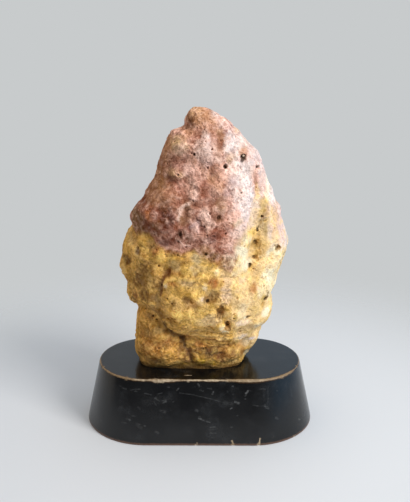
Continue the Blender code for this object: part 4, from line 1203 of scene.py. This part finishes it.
def buildStand():
    bm = mergedCopy("stand")
    cutStand(bm)
    top, foot = standHeight, standForm["chipHeight"]
    dents = [(x, y, top, x, y, top, reach, deep) for x, y, reach, deep in rimDents]
    dents += [(x, y, foot, x, y, foot, reach, deep) for x, y, reach, deep in baseChips]
    scuffed = onStand(scuffs)
    bare = onStand(bareSpots)
    handled = randomScuffs()
    refineAlong(bm, dents, (0.6, 0.3))
    refineAlong(bm, scuffed + bare, (1.0, 0.5, 0.2))
    refineAlong(bm, handled, (0.8, 0.3))
    bmesh.ops.triangulate(bm, faces=bm.faces)
    bmesh.ops.dissolve_degenerate(bm, dist=standForm["sliver"], edges=bm.edges)
    bmesh.ops.triangulate(bm, faces=bm.faces)
    stand = newPiece("lacqueredStand", bm)
    mesh = stand.data
    points = readVectors(mesh, "place") / mm
    print("stand:", len(points), "points,", len(mesh.polygons), "faces")

    mesh.vertices.foreach_set("co", (shapeStand(points, dents) * mm).ravel())
    mesh.update()
    bare += [(*mark[:6], 0.8 * mark[6], 0.8) for mark in dents]
    addValues(mesh, "scuff", np.maximum(strokeShares(points, scuffed), strokeShares(points, handled)))
    addValues(mesh, "bare", strokeShares(points, bare))
    mesh.shade_smooth()
    markCreases(mesh)
    dress(stand, "stand", lacquerFinish())


# Colours of light from 0 to 1; where there are two, the noise runs between them
lacquerPaint = {
    "black": ((0.0030, 0.0032, 0.0040), (0.0065, 0.0065, 0.0065)),
    "film": (0.048, 0.050, 0.053),
    "foot": (0.16, 0.085, 0.055),
    "rimShade": (0.055, 0.028, 0.012),
    "scuff": (0.17, 0.17, 0.165),
    "ground": ((0.25, 0.145, 0.055), (0.58, 0.46, 0.31)),
    "grain": (0.14, 0.080, 0.036),
}


def lacquerFinish():
    finish, n, where = newFinish("black lacquer")
    scuff, bare = n.own("scuff"), n.own("bare")
    x, y, z = n.add("SeparateXYZ", {0: where}).outputs

    # Distance in from the rim, over the top or down the side
    beyond = n.larger(n.minus(n.size(x), straight * mm), 0.0)
    girth = n.math("SQRT", n.plus(n.math("POWER", beyond, 2.0), n.math("POWER", y, 2.0)))
    rim = n.larger(n.minus(standHeight * mm, z), n.minus(topGirth * mm, girth))
    frayed = n.times(n.minus(n.noise(where, 420, detail=4, rough=0.7), 0.5), 0.0016)
    rim = n.plus(rim, frayed)
    width = n.ramp(n.noise(where, 45, detail=2), 0.32, 0.68, 0.0010, 0.0020)
    width = n.times(width, n.ramp(y, -0.016, -0.034, 0.50, 1.0))
    outer = n.ramp(n.math("DIVIDE", rim, width), 1.45, 1.05)
    inner = n.ramp(n.math("DIVIDE", rim, width), 0.92, 0.60)
    patchy = n.ramp(n.noise(where, 260, rough=0.6), 0.28, 0.46, 0.45, 1.0)
    worn = n.larger(n.times(inner, patchy), bare)

    # The pale ground where the lacquer is worn, darker towards the ends and in its grain
    along = n.plus(n.size(x), n.times(n.noise(where, 60, detail=2), 0.012))
    tone = n.ramp(n.noise(where, 30, detail=2), 0.30, 0.55)
    tone = n.times(tone, n.ramp(along, 0.062, 0.046, 0.15, 1.0))
    ground = n.blend(tone, *lacquerPaint["ground"])
    grain = n.ramp(n.noise(where, 700), 0.35, 0.60, 0.45, 0.0)
    ground = n.blend(grain, ground, lacquerPaint["grain"])

    # Scuffs, a brown line at the foot, and a film of fine dust and rubbing
    lowEdge = n.ramp(n.plus(z, frayed), 0.0024, 0.0010)
    cloud = n.ramp(n.noise(where, 55, detail=5, rough=0.7), 0.48, 0.76, 0.0, 0.34)
    fine = n.ramp(n.noise(n.flattened(where, 5.0), 150, 5, 0.7, 1.2), 0.62, 0.78, 0.0, 0.34)
    color = n.blend(n.noise(where, 18, detail=2), *lacquerPaint["black"])
    color = n.blend(n.larger(cloud, fine), color, lacquerPaint["film"])
    color = n.blend(n.times(lowEdge, 0.75), color, lacquerPaint["foot"])
    color = n.blend(n.times(outer, 0.85), color, lacquerPaint["rimShade"])
    fibres = n.noise(n.flattened(where, 2.2), 520, 4, 0.7, 0.6)
    scuff = n.times(scuff, n.ramp(fibres, 0.36, 0.62, 0.15, 1.0))
    color = n.blend(n.times(scuff, 0.60), color, lacquerPaint["scuff"])
    color = n.blend(worn, color, ground)

    rough = n.ramp(n.noise(where, 34, detail=4, rough=0.6), 0.3, 0.75, 0.13, 0.28)
    dull = n.larger(worn, n.larger(n.math("MULTIPLY", scuff, 1.2, clamp=True), cloud))
    height = n.minus(n.noise(where, 26, detail=2), n.times(n.plus(worn, scuff), 0.12))
    bumps = n.add("Bump", {"Height": height, "Strength": 0.35, "Distance": 0.0006})
    shader = n.add("BsdfPrincipled", {
        "Base Color": color, "Roughness": n.level(dull, rough, 0.42), "Normal": bumps.outputs[0],
        "Specular IOR Level": 0.43,
    })
    n.finish(shader)
    return finish


buildStand()
print("stand finished")
